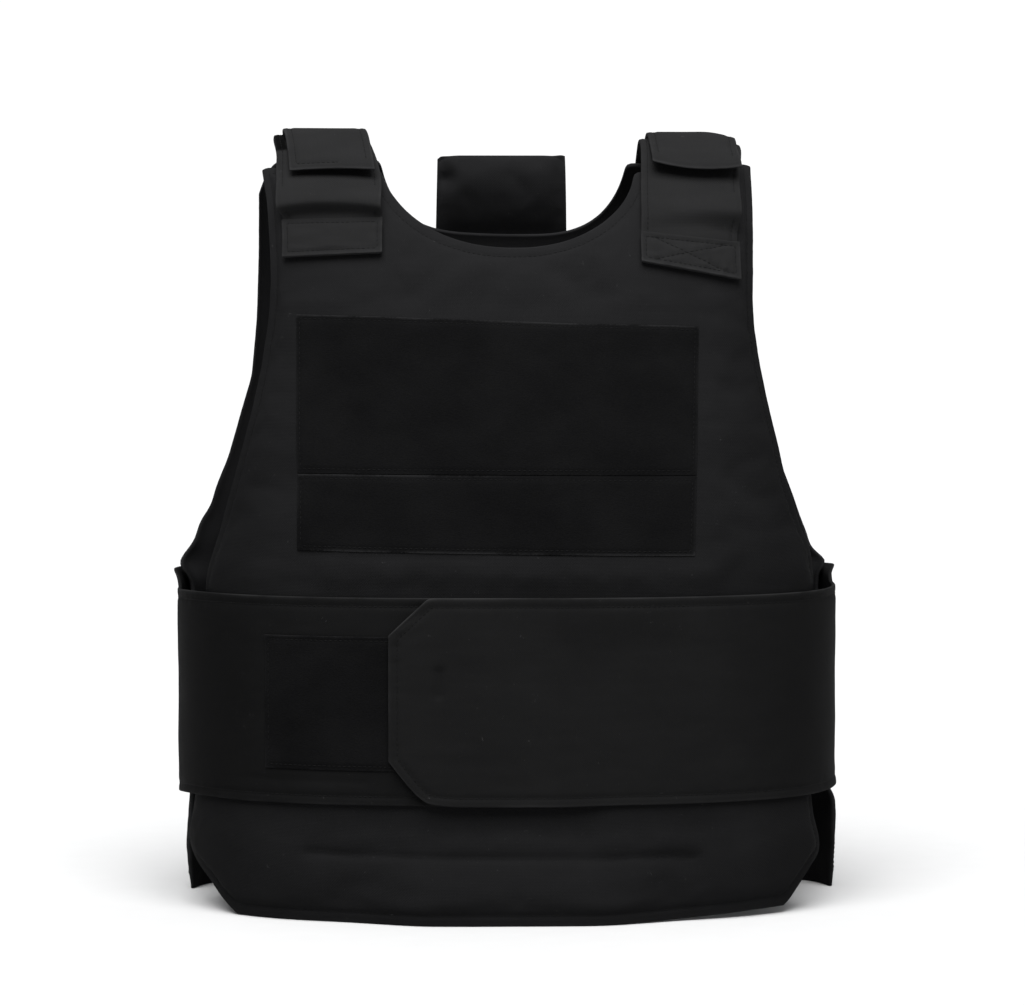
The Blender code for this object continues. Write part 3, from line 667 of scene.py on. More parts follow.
def edge_distance(places, border):
    """How far each place (a, b) lies from a border."""
    run = np.roll(border, -1, axis=0) - border
    squares = np.maximum((run**2).sum(axis=1), 1e-14)
    nearest = []
    for chunk in np.array_split(places, max(1, len(places) // 2000)):
        here = chunk[:, None, :] - border[None]
        share = np.clip((here * run).sum(axis=2) / squares, 0, 1)
        nearest.append(np.linalg.norm(here - share[..., None] * run, axis=2).min(axis=1))
    return np.concatenate(nearest)


def cut(name, pattern, place, under, over, finish, shade_under_face=True, worn=(1.0, 1.0, 0.6), fade=NO_FADE):
    """Cuts a piece by its pattern and lays it on the form between two lifts; its under face, unless told not
    to, is marked for painted shade. worn is how much its low edge, its high edge and its sides are lightened,
    part by rubbing and part as painted highlight; across the fade the high edge's lightening stops."""
    a, b = pattern
    columns, rows = a.shape[0] - 1, a.shape[1] - 1
    deselect()
    bpy.ops.mesh.primitive_grid_add(x_subdivisions=columns, y_subdivisions=rows, size=2.0)
    piece = bpy.context.object
    piece.name = piece.data.name = name
    edit_all(bpy.ops.mesh.extrude_region_move, TRANSFORM_OT_translate={"value": (0.0, 0.0, 1.0)})
    flat = points_of(piece)
    i = np.rint((flat[:, 0] + 1.0) / 2 * columns).astype(int)
    j = np.rint((flat[:, 1] + 1.0) / 2 * rows).astype(int)
    places = np.stack([a[i, j], b[i, j]], axis=-1)
    top = flat[:, 2] > 0.5
    edge = edge_distance(places, border_of(pattern))
    lift = np.where(top, over(places, edge), under(places, edge))
    set_points(piece, place(places[:, 0], places[:, 1], lift))
    for layer in list(piece.data.uv_layers):
        piece.data.uv_layers.remove(layer)
    cloth_map = piece.data.uv_layers.new(name="cloth")
    corner = np.empty(len(piece.data.loops), dtype=int)
    piece.data.loops.foreach_get("vertex_index", corner)
    cloth_map.data.foreach_set("uv", places[corner].ravel())
    # Marks the under face, but not the rim, for painted shade.
    paint(piece, "lining", np.where(top | (edge < 1e-6), 0.0, float(shade_under_face)))
    high_wear_and_light = worn[1] * (1 - smooth(*fade, places[:, 0]))
    edge_wear_and_light = np.where(j <= 2, worn[0], np.where(j >= rows - 2, high_wear_and_light, worn[2]))
    # The top face's edge band is lightened, part by rubbing and part as painted highlight.
    paint(piece, "rubbed", np.where(top, edge_wear_and_light * (1 - smooth(0, WORN_LIT_BAND, edge)), 0.0))
    edit_all(bpy.ops.mesh.normals_make_consistent, inside=False)
    piece.data.materials.clear()
    piece.data.materials.append(finish)
    return piece, places, top, edge


def even(start, end, step):
    """Evenly spaced lines from start to end, about a step apart."""
    return np.linspace(start, end, max(2, round(abs(end - start) / step) + 1))


def graded(length, step, near):
    """Shares from 0 to 1 of a length, a step apart, with closer lines near both ends."""
    near = np.array(near) / length
    middle = even(near[-1], 1 - near[-1], step / length)
    return np.concatenate([near[:-1], middle, 1 - near[-2::-1]])


def soften(piece):
    """Rounds a piece by subdividing it, and shades it smooth."""
    take_up(piece)
    rounding = piece.modifiers.new("rounding", "SUBSURF")
    rounding.levels = rounding.render_levels = 1
    bpy.ops.object.modifier_apply(modifier=rounding.name)
    bpy.ops.object.shade_smooth()
    print(f"{piece.name}: {2 * len(piece.data.polygons)} triangles")


def level(distance):
    """A lift that is the same all over."""
    return lambda places, edge: np.full(len(places), distance)


def dress(piece, *nodes, slot):
    """The finished piece stands for its solids, moves with the vest and takes its slot's finish."""
    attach(piece, "root")
    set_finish(piece, slot)
    if nodes:
        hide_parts(*nodes)


# %% [markdown]
# ## Filling a pad
# The panels and the neck tab are stuffed. Blender's Cloth swells them from inside with a little pressure,
# and the points that are sewn or covered are held. The swelling is then capped, so that a pad never comes
# through the strap or wing that lies on it.

# %% Filling
FILLING_FRAMES = 20
FILLING_STIFFNESS = 12.0


def fill_pad(piece, held, pressure, most):
    """Swells a padded piece with Cloth. held is 1 where a point stays; most is the largest move."""
    before = points_of(piece)
    group = piece.vertex_groups.new(name="held")
    for weight in np.unique(np.round(held, 1)):
        if weight > 0.0:
            group.add(np.flatnonzero(np.round(held, 1) == weight).tolist(), float(weight), "REPLACE")
    take_up(piece)
    pad = piece.modifiers.new("pad", "CLOTH")
    for key, value in dict(quality=4, mass=0.25, tension_stiffness=FILLING_STIFFNESS,
                           compression_stiffness=FILLING_STIFFNESS, shear_stiffness=FILLING_STIFFNESS / 3,
                           bending_stiffness=0.6, use_pressure=True, uniform_pressure_force=pressure,
                           shrink_min=-0.012, vertex_group_mass="held").items():
        setattr(pad.settings, key, value)
    pad.settings.effector_weights.gravity = 0.0
    pad.collision_settings.use_collision = False
    pad.point_cache.frame_start, pad.point_cache.frame_end = 1, FILLING_FRAMES
    for frame_number in range(1, FILLING_FRAMES + 1):
        bpy.context.scene.frame_set(frame_number)
    bpy.ops.object.modifier_apply(modifier=pad.name)
    bpy.context.scene.frame_set(1)
    move = points_of(piece) - before
    length = np.maximum(np.linalg.norm(move, axis=1), 1e-9)
    capped = most * np.tanh(length / most)
    set_points(piece, before + move * (capped / length * (1 - held))[:, None])
    piece.vertex_groups.clear()
    print(f"{piece.name}: swelled by up to {1000 * (capped * (1 - held)).max():.1f} mm")


# %% [markdown]
# ## Seams and stitches
# A seam pulls the cloth down along its line and puckers it a little on both sides. Each stitch is a short
# piece of thread that dips into the cloth at both ends. One stitch is modelled, and its copies are laid
# along the seam on the finished surface.

# %% Paths for seams
SEAM_SAMPLE = 0.0012


def walk(points, step):
    """A line again, with points about a step apart."""
    along = run_along(points)
    at = np.linspace(0.0, along[-1], max(2, round(along[-1] / step) + 1))
    return np.stack([np.interp(at, along, points[:, k]) for k in range(points.shape[1])], axis=-1)

# %% Seam lines
INSET_SAMPLE = 0.002
INSET_KEPT = 0.985
SEAM_SEEK = 0.004
SEAM_SEEK_DEPTH = 0.01
SEAM_FACING = 0.3


def inset(border, distance):
    """A closed line inside a border, a distance in from it."""
    line = walk(np.vstack([border, border[:1]]), INSET_SAMPLE)[:-1]
    ahead = np.roll(line, -1, axis=0) - np.roll(line, 1, axis=0)
    normal = np.stack([-ahead[:, 1], ahead[:, 0]], axis=-1) / np.linalg.norm(ahead, axis=1)[:, None]
    area = (line[:, 0] * np.roll(line[:, 1], -1) - np.roll(line[:, 0], -1) * line[:, 1]).sum()
    moved = line + normal * distance * np.sign(area)
    kept = moved[edge_distance(moved, line) > INSET_KEPT * distance]
    return np.vstack([kept, kept[:1]])


def seam_on(piece, place, line, lift):
    """A seam's points and normals on the finished face of a piece, near the lift where it should lie."""
    line = walk(np.asarray(line, float), SEAM_SAMPLE)
    guess = place(line[:, 0], line[:, 1], np.full(len(line), lift))
    guess_out = place(line[:, 0], line[:, 1], np.full(len(line), lift + 0.001)) - guess
    tree = BVHTree.FromObject(piece, bpy.context.evaluated_depsgraph_get())
    found, normals = [], []
    for point, out in zip(guess, guess_out):
        out = Vector(out).normalized()
        hit, normal, _, _ = tree.ray_cast(Vector(point) + SEAM_SEEK * out, -out, SEAM_SEEK_DEPTH)
        if hit is None:
            hit, normal = Vector(point), out
        found.append(hit)
        normals.append(normal if normal.dot(out) > SEAM_FACING else out)
    return np.array(found), np.array(normals)


# %% Pressing seams
PRESS_REACH = 2.6
PRESS_FACING = 0.2
PUCKER_REACH = 0.006
PUCKER_SIZE = (0.0045, 0.0045, 0.0045)


def press(piece, seams, depth, width, pucker=0.0):
    """Sinks a piece's outer face along seams, and puckers it beside them."""
    tree = kdtree.KDTree(sum(len(path) for path, _ in seams))
    paths = np.concatenate([path for path, _ in seams])
    normals = np.concatenate([normal for _, normal in seams])
    for index, point in enumerate(paths):
        tree.insert(point, index)
    tree.balance()
    points = points_of(piece)
    own = np.empty(3 * len(points))
    piece.data.vertex_normals.foreach_get("vector", own)
    own = own.reshape(-1, 3)
    far = PRESS_REACH * max(width, PUCKER_REACH if pucker else 0.0)
    ripple = waves(paths, PUCKER_SIZE) if pucker else np.zeros(len(paths))
    for index, point in enumerate(points):
        _, nearest, away = tree.find(point)
        if away < far and own[index] @ normals[nearest] > PRESS_FACING:
            sink = depth * math.exp(-(away / width) ** 2)
            lift = pucker * ripple[nearest] * math.exp(-(away / PUCKER_REACH) ** 2)
            points[index] += (lift - sink) * normals[nearest]
    set_points(piece, points)


# %% [markdown]
# The stitch itself is a small ball, drawn out to the stitch's length, flattened a little and with both
# ends bent down.

# %% One stitch
STITCH_LENGTH = 0.0027
STITCH_PITCH = 0.0035
STITCH_THICKNESS = 0.00052
STITCH_LIFT = 0.28 * STITCH_THICKNESS - 0.00005
deselect()
bpy.ops.mesh.primitive_uv_sphere_add(segments=6, ring_count=5, radius=0.5, rotation=(0.0, math.pi / 2, 0.0))
stitch = bpy.context.object
stitch.name = "stitch"
bpy.ops.object.transform_apply(location=True, rotation=True, scale=True)
edit_all(bpy.ops.transform.resize, value=(STITCH_LENGTH, STITCH_THICKNESS, STITCH_THICKNESS))
edit_all(bpy.ops.mesh.quads_convert_to_tris)
stitch_points = points_of(stitch)
stitch_points[:, 2] -= 0.35 * STITCH_THICKNESS * (2 * stitch_points[:, 0] / STITCH_LENGTH) ** 4
stitch_faces = np.array([tuple(face.vertices) for face in stitch.data.polygons])
bpy.data.objects.remove(stitch)
print("one stitch:", len(stitch_faces), "triangles")


def sew(name, piece, lines, slot):
    """Lays stitches along seams on a piece's face, as one object."""
    placed, faces = [], []
    for place, line, lift in lines:
        path, normals = seam_on(piece, place, line, lift)
        run = run_along(path)
        for at in np.arange(STITCH_PITCH / 2, run[-1] - STITCH_PITCH / 2, STITCH_PITCH):
            start, middle, end = (np.array([np.interp(at + d, run, path[:, k]) for k in range(3)])
                                  for d in (-STITCH_LENGTH / 2, 0.0, STITCH_LENGTH / 2))
            out = normals[min(len(normals) - 1, np.searchsorted(run, at))]
            ahead = end - start
            ahead /= np.linalg.norm(ahead)
            side = np.cross(out, ahead)
            side /= np.linalg.norm(side)
            up = np.cross(ahead, side)
            faces.append(stitch_faces + len(placed) * len(stitch_points))
            placed.append(middle + up * STITCH_LIFT + stitch_points @ np.stack([ahead, side, up]))
    mesh = bpy.data.meshes.new(name)
    mesh.from_pydata(np.concatenate(placed).tolist(), [], np.concatenate(faces).tolist())
    seam = bpy.data.objects.new(name, mesh)
    bpy.context.scene.collection.objects.link(seam)
    mesh.materials.append(thread)
    take_up(seam)
    bpy.ops.object.shade_smooth()
    dress(seam, slot=slot)
    print(f"{name}: {len(placed)} stitches")


def finish_piece(piece, slot, stitched, creases=()):
    """Presses seams and creases into a piece, lets it stand for its solid and sews the seams. Each entry is
    its lines, then the depth and width of the sink and, for a seam, its pucker."""
    for lines, *pressing in (*stitched, *creases):
        press(piece, [seam_on(piece, *line) for line in lines], *pressing)
    node = piece.name.removesuffix("_cloth")
    dress(piece, node, slot=slot)
    sew(f"{node}_stitches", piece, [line for lines, *_ in stitched for line in lines], slot)


# %% [markdown]
# ## Front and back panels
# Each panel is a padded plate cover with two shoulder tabs, a round neckline, armholes and a turned hem.
# The pattern's columns stand side by side at the hem and fan round the neckline at the top. The hem is
# pressed flat, with a row of stitches inside it, and the pad swells behind it.

# %% Panel sizes
PAD_THICKNESS = 0.0105
TOP_LINE_POINTS = 6001
TOP_LINE_STEP = 0.0002
FAN_START = 0.55
PAD_RIM = 0.0034
PAD_EDGE_BAND = 0.016
PANEL_STEP = 0.0052
PANEL_HEM = 0.0075
PANEL_PRESSURE = 5.0
PANEL_PRESSING = (0.0009, 0.002, 0.0005)
PANEL_SWELL = 0.0042
PANEL_NEAR_EDGE = (0.0, 0.001, 0.003, 0.005, 0.0066, 0.008, 0.0098, 0.0128, 0.017)
FRONT_LEFT_EDGE = np.array([
    (0.0005, 0.19), (0.0053, 0.1958), (0.0131, 0.2038), (0.0208, 0.2098), (0.0289, 0.2187), (0.0365, 0.225),
    (0.0451, 0.2266), (0.0517, 0.2258), (0.0611, 0.2245), (0.0743, 0.2215), (0.16, 0.2125), (0.228, 0.2122),
    (0.24, 0.2094), (0.259, 0.205), (0.272, 0.2008), (0.292, 0.1938), (0.313, 0.1877), (0.345, 0.1789),
    (0.377, 0.1722), (0.408, 0.1673), (0.434, 0.1654), (0.46, 0.166), (0.489, 0.1677), (0.497, 0.169),
    (0.5125, 0.1712)])
FRONT_RIGHT_EDGE = np.array([
    (0.005, 0.1897), (0.009, 0.1938), (0.014, 0.1972), (0.022, 0.2023), (0.03, 0.2074), (0.038, 0.2128),
    (0.047, 0.2133), (0.054, 0.2119), (0.0656, 0.21), (0.077, 0.2105), (0.16, 0.213), (0.228, 0.214),
    (0.249, 0.2118), (0.2575, 0.2098), (0.263, 0.2066), (0.279, 0.2003), (0.2985, 0.1926), (0.3185, 0.1879),
    (0.345, 0.1811), (0.377, 0.1747), (0.402, 0.171), (0.4225, 0.1699), (0.461, 0.1702), (0.489, 0.1702),
    (0.5125, 0.1692)])
FRONT_HEM = np.array([(-0.19, 0.0005), (-0.15, 0.0), (0.06, 0.0), (0.1, 0.0008), (0.135, 0.0024),
                      (0.165, 0.004), (0.1897, 0.005)])
BACK_LEFT_EDGE = np.array([
    (0.0, 0.2266), (0.04, 0.2277), (0.12, 0.2282), (0.233, 0.2278), (0.243, 0.225), (0.2501, 0.222),
    (0.2572, 0.2206), (0.2643, 0.218), (0.2714, 0.2142), (0.2855, 0.2112), (0.2927, 0.2086), (0.307, 0.2022),
    (0.366, 0.1845), (0.407, 0.1805), (0.445, 0.1785), (0.498, 0.1765)])
BACK_RIGHT_EDGE = np.array([
    (0.0, 0.2266), (0.04, 0.2277), (0.12, 0.2282), (0.233, 0.2275), (0.241, 0.2238), (0.255, 0.2206),
    (0.273, 0.2142), (0.307, 0.2012), (0.366, 0.1845), (0.407, 0.1805), (0.445, 0.1785), (0.498, 0.1765)])
BACK_HEM = np.array([(-0.2266, 0.0), (0.2266, 0.0)])
FRONT_TAB_TOP = 0.5147
BACK_TAB_TOP = 0.5235
RIGHT_TAB_BAND = (0.145, 0.16)
FRONT_NECK = (0.0868, 0.0, 0.459, 2.25, 0.57)
BACK_NECK = (0.0868, -0.0018, 0.471, 4.0, 0.62)


# %% Panel pattern
def panel_pattern(side, left, right, hem, tab_top, tab_corner, neck, right_tab_rise=0.0):
    """Girth and rise of each crossing of a panel's grid. left and right give its edges' x at each height;
    neck gives its neckline's half width, middle, bottom, squareness and roundness."""
    neck_half_width, neck_middle, neck_bottom, squareness, roundness = neck
    outer = right[-1, 1]
    corner_drop = tab_top - right[-1, 0]

    def top_height(x):
        beside = np.clip((np.abs(x) - (outer - tab_corner)) / tab_corner, 0, 1)
        depth = 1 - np.minimum(1, np.abs(x - neck_middle) / neck_half_width) ** squareness
        return (tab_top - corner_drop * beside**2 - (tab_top - neck_bottom) * depth**roundness
                + right_tab_rise * smooth(*RIGHT_TAB_BAND, x))

    def half_width(share, z):
        return np.where(share < 0.0, np.interp(z, *left.T), np.interp(z, *right.T))

    dense = np.linspace(-outer, outer, TOP_LINE_POINTS)
    top_line = walk(np.stack([dense, top_height(dense)], axis=-1), TOP_LINE_STEP)
    columns = graded(2 * outer, PANEL_STEP, PANEL_NEAR_EDGE)
    share_at_top = np.interp(columns, np.linspace(0, 1, len(top_line)), top_line[:, 0]) / outer
    share_below = 2 * columns - 1.0
    up = graded(tab_top, PANEL_STEP, PANEL_NEAR_EDGE)
    fan = smooth(FAN_START, 1.0, up)
    share = share_below[:, None] * (1 - fan) + share_at_top[:, None] * fan
    bottom = np.interp(share_below * np.where(share_below < 0.0, left[0, 1], right[0, 1]), *hem.T)
    top = top_height(share_at_top * outer)
    z = bottom[:, None] + (top - bottom)[:, None] * up
    return girth_of(share * half_width(share, z), z, side), rise_of(z, side)


front_pattern = panel_pattern("front", FRONT_LEFT_EDGE, FRONT_RIGHT_EDGE, FRONT_HEM, FRONT_TAB_TOP, 0.005,
                              FRONT_NECK, right_tab_rise=0.007)
back_pattern = panel_pattern("back", BACK_LEFT_EDGE, BACK_RIGHT_EDGE, BACK_HEM, BACK_TAB_TOP, 0.018,
                             BACK_NECK)
print("front panel, round its edge, mm:", round(1000 * np.linalg.norm(
    np.diff(border_of(front_pattern), axis=0), axis=1).sum()))


# %% [markdown]
# The covered parts of a panel are kept from swelling: the band under the waist wings, the chest under the
# loop fields and the shoulders under the straps.

# %% Make the panels
def pad_over(places, edge):
    return -(PAD_THICKNESS - PAD_RIM) / 2 * (1 - smooth(0, PAD_EDGE_BAND, edge))


def pad_under(places, edge):
    return -PAD_THICKNESS - pad_over(places, edge)


def inside(value, low, high, margin):
    """1 between low and high, falling to 0 over a margin outside them."""
    return smooth(low - margin, low, value) * (1 - smooth(high, high + margin, value))


HELD_INSIDE = 0.75
WINGS_COVER = (0.07, 0.222, 0.012)
STRAPS_COVER, STRAPS_START = (0.08, 0.175, 0.008), (0.42, 0.432)
FIELDS_WIDE, FIELDS_HIGH = (-0.148, 0.13, 0.01), (0.246, 0.412, 0.01)
TAB_WIDE, TAB_START = (-0.05, 0.05, 0.008), (0.42, 0.43)


def covered(points, top, side):
    """1 where another piece lies on a panel's outer face."""
    x, z = points[:, 0], points[:, 2]
    wings = inside(z, *WINGS_COVER)
    straps = inside(np.abs(x), *STRAPS_COVER) * smooth(*STRAPS_START, z)
    if side == "front":
        other = inside(x, *FIELDS_WIDE) * inside(z, *FIELDS_HIGH)
    else:
        other = inside(np.abs(x), *TAB_WIDE) * smooth(*TAB_START, z)
    return np.where(top, np.maximum(np.maximum(wings, straps), other), HELD_INSIDE)


def crease(side, *ends):
    """A straight line on a panel between two places given by x and height."""
    ends = walk(np.array(ends), 0.004)
    return np.stack([girth_of(ends[:, 0], ends[:, 1], side), ends[:, 1]], axis=-1)


def make_panel(side, pattern, place, creases=()):
    piece, places, top, edge = cut(f"{side}_panel_cloth", pattern, place, pad_under, pad_over, panel_nylon,
                                   worn=(1, 1, 1))
    rim = 1 - smooth(PANEL_HEM, PANEL_HEM + 0.006, edge)
    fill_pad(piece, np.maximum(rim, covered(points_of(piece), top, side)), PANEL_PRESSURE, PANEL_SWELL)
    soften(piece)
    hem = (place, inset(border_of(pattern), PANEL_HEM), -0.001)
    finish_piece(piece, "panel_cloth", [([hem], *PANEL_PRESSING)],
                 [([(place, crease(side, *ends), 0.001)], depth, width) for ends, depth, width in creases])


FRONT_CREASES = (
    (((-0.137, 0.0475), (-0.02, 0.0462), (0.124, 0.0447)), 0.0016, 0.0018),
    (((-0.143, 0.2484), (-0.02, 0.247)), 0.0009, 0.0013))
make_panel("front", front_pattern, on_front, FRONT_CREASES)
make_panel("back", back_pattern, on_back)

# %% [markdown]
# ## Loop cloth on the chest
# The dark rectangle is two strips of loop cloth, a wide one over a narrow one, each sewn down all round.
# They are thin, so they are laid straight on the chest, with a low soft edge.

# %% Chest fields
GAP = 0.0004
LOOP_THICKNESS = 0.0014
FIELD_STEP = 0.0042
FIELD_SEAM = 0.003
NEAR_EDGE = (0.0, 0.0006, 0.0018, 0.003, 0.0042, 0.006)
FIELD_OPEN_EDGE = np.array((0.006, 0.003))
FIELD_EDGE_THINNING = 0.0009
FIELD_EDGE_LENGTH = 0.0035
CHEST_FIELD_PUCKER = 0.0002
CREASE_PRESSING = (0.0005, 0.0012)
FIELD_PRESSING = (0.0004, 0.0014)
CHEST_FIELDS = {
    "lower": dict(corners=((-0.144, 0.252), (0.1235, 0.248), (0.125, 0.3018), (-0.1445, 0.3033)),
                  worn=(1.0, 0.8, 0.25), fade=(-0.02, 0.0), thin_top=True,
                  creases=[((0.1035, 0.2775), (0.1035, 0.2505))]),
    "upper": dict(corners=((-0.1445, 0.3036), (0.125, 0.3021), (0.1275, 0.4025), (-0.145, 0.4105)),
                  worn=(0.1, 1.0, 0.25)),
}


def four_sided(corners, side, step):
    """A pattern with straight sides from its corners: low left and right, high right and left."""
    corners = np.array(corners)
    wide = graded(np.linalg.norm(corners[1] - corners[0]), step, NEAR_EDGE)[:, None, None]
    high = graded(np.linalg.norm(corners[3] - corners[0]), step, NEAR_EDGE)[None, :, None]
    grid = ((1 - wide) * (1 - high) * corners[0] + wide * (1 - high) * corners[1]
            + wide * high * corners[2] + (1 - wide) * high * corners[3])
    return girth_of(grid[..., 0], grid[..., 1], side), rise_of(grid[..., 1], side)


def field_over(lift, high_edge):
    """The outer face of loop cloth: it falls to a thin sewn edge, but not at its upper edge."""
    def over(places, edge):
        falls = 1 - smooth(*(high_edge - FIELD_OPEN_EDGE), places[:, 1])
        thinner = FIELD_EDGE_THINNING * falls * (1 - smooth(0, FIELD_EDGE_LENGTH, edge))
        return lift + LOOP_THICKNESS - thinner
    return over


def make_field(node, corners, lift, flat, rests_on, pucker=0.0, creases=(), thin_top=False, **edge_wear_and_light):
    """A field of loop cloth, sewn down all round."""
    pattern = four_sided(corners, "front", FIELD_STEP)
    over = field_over(lift, pattern[1].max() + (1.0 if thin_top else 0.0))
    field, *_ = cut(f"{node}_cloth", pattern, on_front, level(lift), over, loop_cloth, **edge_wear_and_light)
    soften(field)
    lift += LOOP_THICKNESS
    finish_piece(field, "loop_cloth",
                 [([(on_front, inset(border_of(pattern), FIELD_SEAM), lift)], *FIELD_PRESSING, pucker)],
                 [([(on_front, crease("front", *ends), lift)], *CREASE_PRESSING) for ends in creases])


for name, sizes in CHEST_FIELDS.items():
    _, low_right, high_right, high_left = sizes["corners"]
    make_field(f"chest_field_{name}", lift=GAP, rests_on="front_panel_cloth", pucker=CHEST_FIELD_PUCKER,
               flat=(high_right[0] - high_left[0], high_right[1] - low_right[1]), **sizes)

# %% [markdown]
# ## Shoulder straps
# Each strap is sewn on the chest under a stitched patch, stands off the chest in a soft roll, and goes up
# over the shoulder to the back. The flap from the back lies on it and holds it by its hooks. The straps
# are thin and bend one way only, so they are laid directly on the shoulder's arch.

# %% Shoulder sizes
STRAP_THICKNESS = 0.003
PATCH_THICKNESS = 0.0015
FLAP_THICKNESS = 0.004
STRAP_STEP = 0.003
STRAP_NEAR_EDGE = (0.0, 0.0007, 0.0021, 0.0034, 0.0045, 0.0056, 0.0075)
STRAP_SEAM, PATCH_SEAM, FLAP_SEAM = 0.0045, 0.0035, 0.005
STRAP_PRESSING = (0.0006, 0.0014, 0.0003)
PATCH_PRESSING = (0.0005, 0.0016, 0.0004)
CROSS_PRESSING = (0.0007, 0.0013, 0.001)
FLAP_PRESSING = (0.0007, 0.0016, 0.0003)
CROSS_INSET = 0.3
STRAP_EDGE_THINNING = 0.0008
STRAP_EDGE_LENGTH = 0.004
PUFF_START = 0.0005
PUFF_BOW = 0.003
PATCH_CRUMPLE = 0.0012
PATCH_CRUMPLE_SIZE = (0.022, 0.006, 1.0)
PATCH_CRUMPLE_EDGE = (0.002, 0.007)
PATCH_TOP_LENGTH = 0.006
STRAP_BACK_END = 0.455
PUFF_END = 0.5055
PATCH_OVERLAP = 0.0006
SHIFT_BOTTOM = 0.46
TAPER_START = 0.4955
FLAP_SEWN_END = 0.43
FLAP_LIFT_LENGTH = 0.03
FLAP_EDGE_THINNING = 0.002
FLAP_EDGE_LENGTH = 0.012
# Where the painted shadow on the left strap lies: beyond this x, and this far back from the crest.
NOTCH_SHADOW_X = 0.1525
NOTCH_SHADOW_LENGTH = 0.037
FLAP_RIM_THINNING = 0.0006
FLAP_RIM_LENGTH = 0.004
FLAP_STEP_START = 0.004
FLAP_STEP_END = 0.018
SHOULDERS = {
    "left": SimpleNamespace(
        sign=-1, strap_x=0.1235, strap_width=0.073, patch_low=(0.4515, 0.449), patch_top=(0.4752, 0.4742),
        puff=0.0098, roll=0.01, hang=0.0064, puff_lean=0.0, top_thinning=0.0012, taper=0.012, flare=0.003,
        low_shift=(0.0, -0.0068), shift_top=0.51, flap_x=0.1203, flap_width=0.058, flap_slide=0.008,
        flap_free=(0.5022, 0.5038, 0.504), flap_lift=(0.0056, 0.0042, 0.0024)),
    "right": SimpleNamespace(
        sign=1, strap_x=0.1265, strap_width=0.07, patch_low=(0.4465, 0.4345), patch_top=(0.4665, 0.46),
        puff=0.006, roll=0.011, hang=0.0, puff_lean=0.6, top_thinning=0.0, taper=0.001, flare=0.001,
        low_shift=(-0.002, -0.0056), shift_top=0.528, flap_x=0.1284, flap_width=0.0605, flap_slide=-0.0005,
        flap_free=(0.5092, 0.5058, 0.505, 0.5065), flap_lift=(0.0064, 0.0054, 0.0068)),
}
ON_STRAP = 2 * GAP + STRAP_THICKNESS
STRAP_END_RUN = run_at(STRAP_BACK_END, "back")
PUFF_END_RUN = run_at(PUFF_END, "front")
FLAP_END_RUN = run_at(FLAP_SEWN_END, "back")


def edge_line(values, across):
    """A smooth line through values that are spaced evenly across a strip."""
    return np.polyval(np.polyfit(np.linspace(0, 1, len(values)), values, len(values) - 1), across)


def strip_pattern(sign, centre, width, low, top, taper=0.0, flare=0.0, slide=0.0, low_shift=(0.0, 0.0),
                  shift_top=0.5):
    """Pattern of a strip over a shoulder, in x and way along the arch; its ends pass through low and top.
    low_shift moves the inner and the outer edge outwards at the low end."""
    across = graded(width, STRAP_STEP, STRAP_NEAR_EDGE)[:, None]
    run_low, run_top = edge_line(low, across), edge_line(top, across)
    up = graded(np.mean(top) - np.mean(low), STRAP_STEP, STRAP_NEAR_EDGE)[None, :]
    run = run_low + (run_top - run_low) * up
    over_crest = smooth(run_at(TAPER_START, "front"), CREST_RUN, run) * (1 - smooth(0.6, 0.9, up))
    inner = sign * (centre - width / 2 + taper * over_crest)
    outer = sign * (centre + width / 2 + flare * inside(up, 0.44, 0.6, 0.12))
    low_part = 1 - smooth(*run_at(np.array((SHIFT_BOTTOM, shift_top)), "front"), run)
    shift = low_shift[0] + (low_shift[1] - low_shift[0]) * across
    moved = slide * np.clip(up / 0.3, 0, 1) + low_part * shift
    return inner + (outer - inner) * across + sign * moved, run


# %% Make the straps
def make_strap(name, sizes):
    """The strap on one shoulder, with its patch."""
    low = run_at(np.array(sizes.patch_low), "front")
    top = run_at(np.array(sizes.patch_top), "front")

    def puff(x, run):
        """How far the strap has rolled off the chest, from 0 to 1."""
        share = np.clip((np.abs(x) - sizes.strap_x) / (sizes.strap_width / 2), -1.0, 1.0)
        start = top.max() + PUFF_START + PUFF_BOW * (1 - share**2)
        out = smooth(0, 1.0, (run - start) / sizes.roll)
        out = out * (1 - smooth(0, 1.0, (run - start - sizes.roll)
                                / (PUFF_END_RUN - top.max() - sizes.roll)))
        return out * (1.0 + sizes.puff_lean * share)

    def strap_under(places, edge):
        return GAP + sizes.puff * puff(places[:, 0], places[:, 1])

    def strap_over(places, edge):
        thinner = STRAP_EDGE_THINNING * (1 - smooth(0, STRAP_EDGE_LENGTH, edge))
        return strap_under(places, edge) + STRAP_THICKNESS - thinner

    def on_rolled(x, run, lift):
        """The shoulder, where the rolled part of the strap hangs down a little."""
        return on_shoulder(x, run - sizes.hang * puff(x, run), lift)

    pattern = strip_pattern(sizes.sign, sizes.strap_x, sizes.strap_width, low,
                            (STRAP_END_RUN, STRAP_END_RUN), sizes.taper, sizes.flare,
                            low_shift=sizes.low_shift, shift_top=sizes.shift_top)
    strap, places, is_top, _ = cut(f"shoulder_strap_{name}_cloth", pattern, on_rolled, strap_under,
                                   strap_over, strap_nylon, worn=(0.5, 0.5, 0.55))
    # The left strap's top face at its outer end near the crest is painted near black, as a painted shadow.
    loops = is_top & (np.abs(places[:, 0]) > NOTCH_SHADOW_X) & (places[:, 1] > CREST_RUN - NOTCH_SHADOW_LENGTH)
    paint(strap, "loops", np.where(loops & (name == "left"), 1.0, 0.0))
    soften(strap)
    seam = (on_rolled, inset(border_of(pattern), STRAP_SEAM), ON_STRAP)
    finish_piece(strap, "strap_cloth", [([seam], *STRAP_PRESSING)])
    make_patch(name, sizes, low, top)


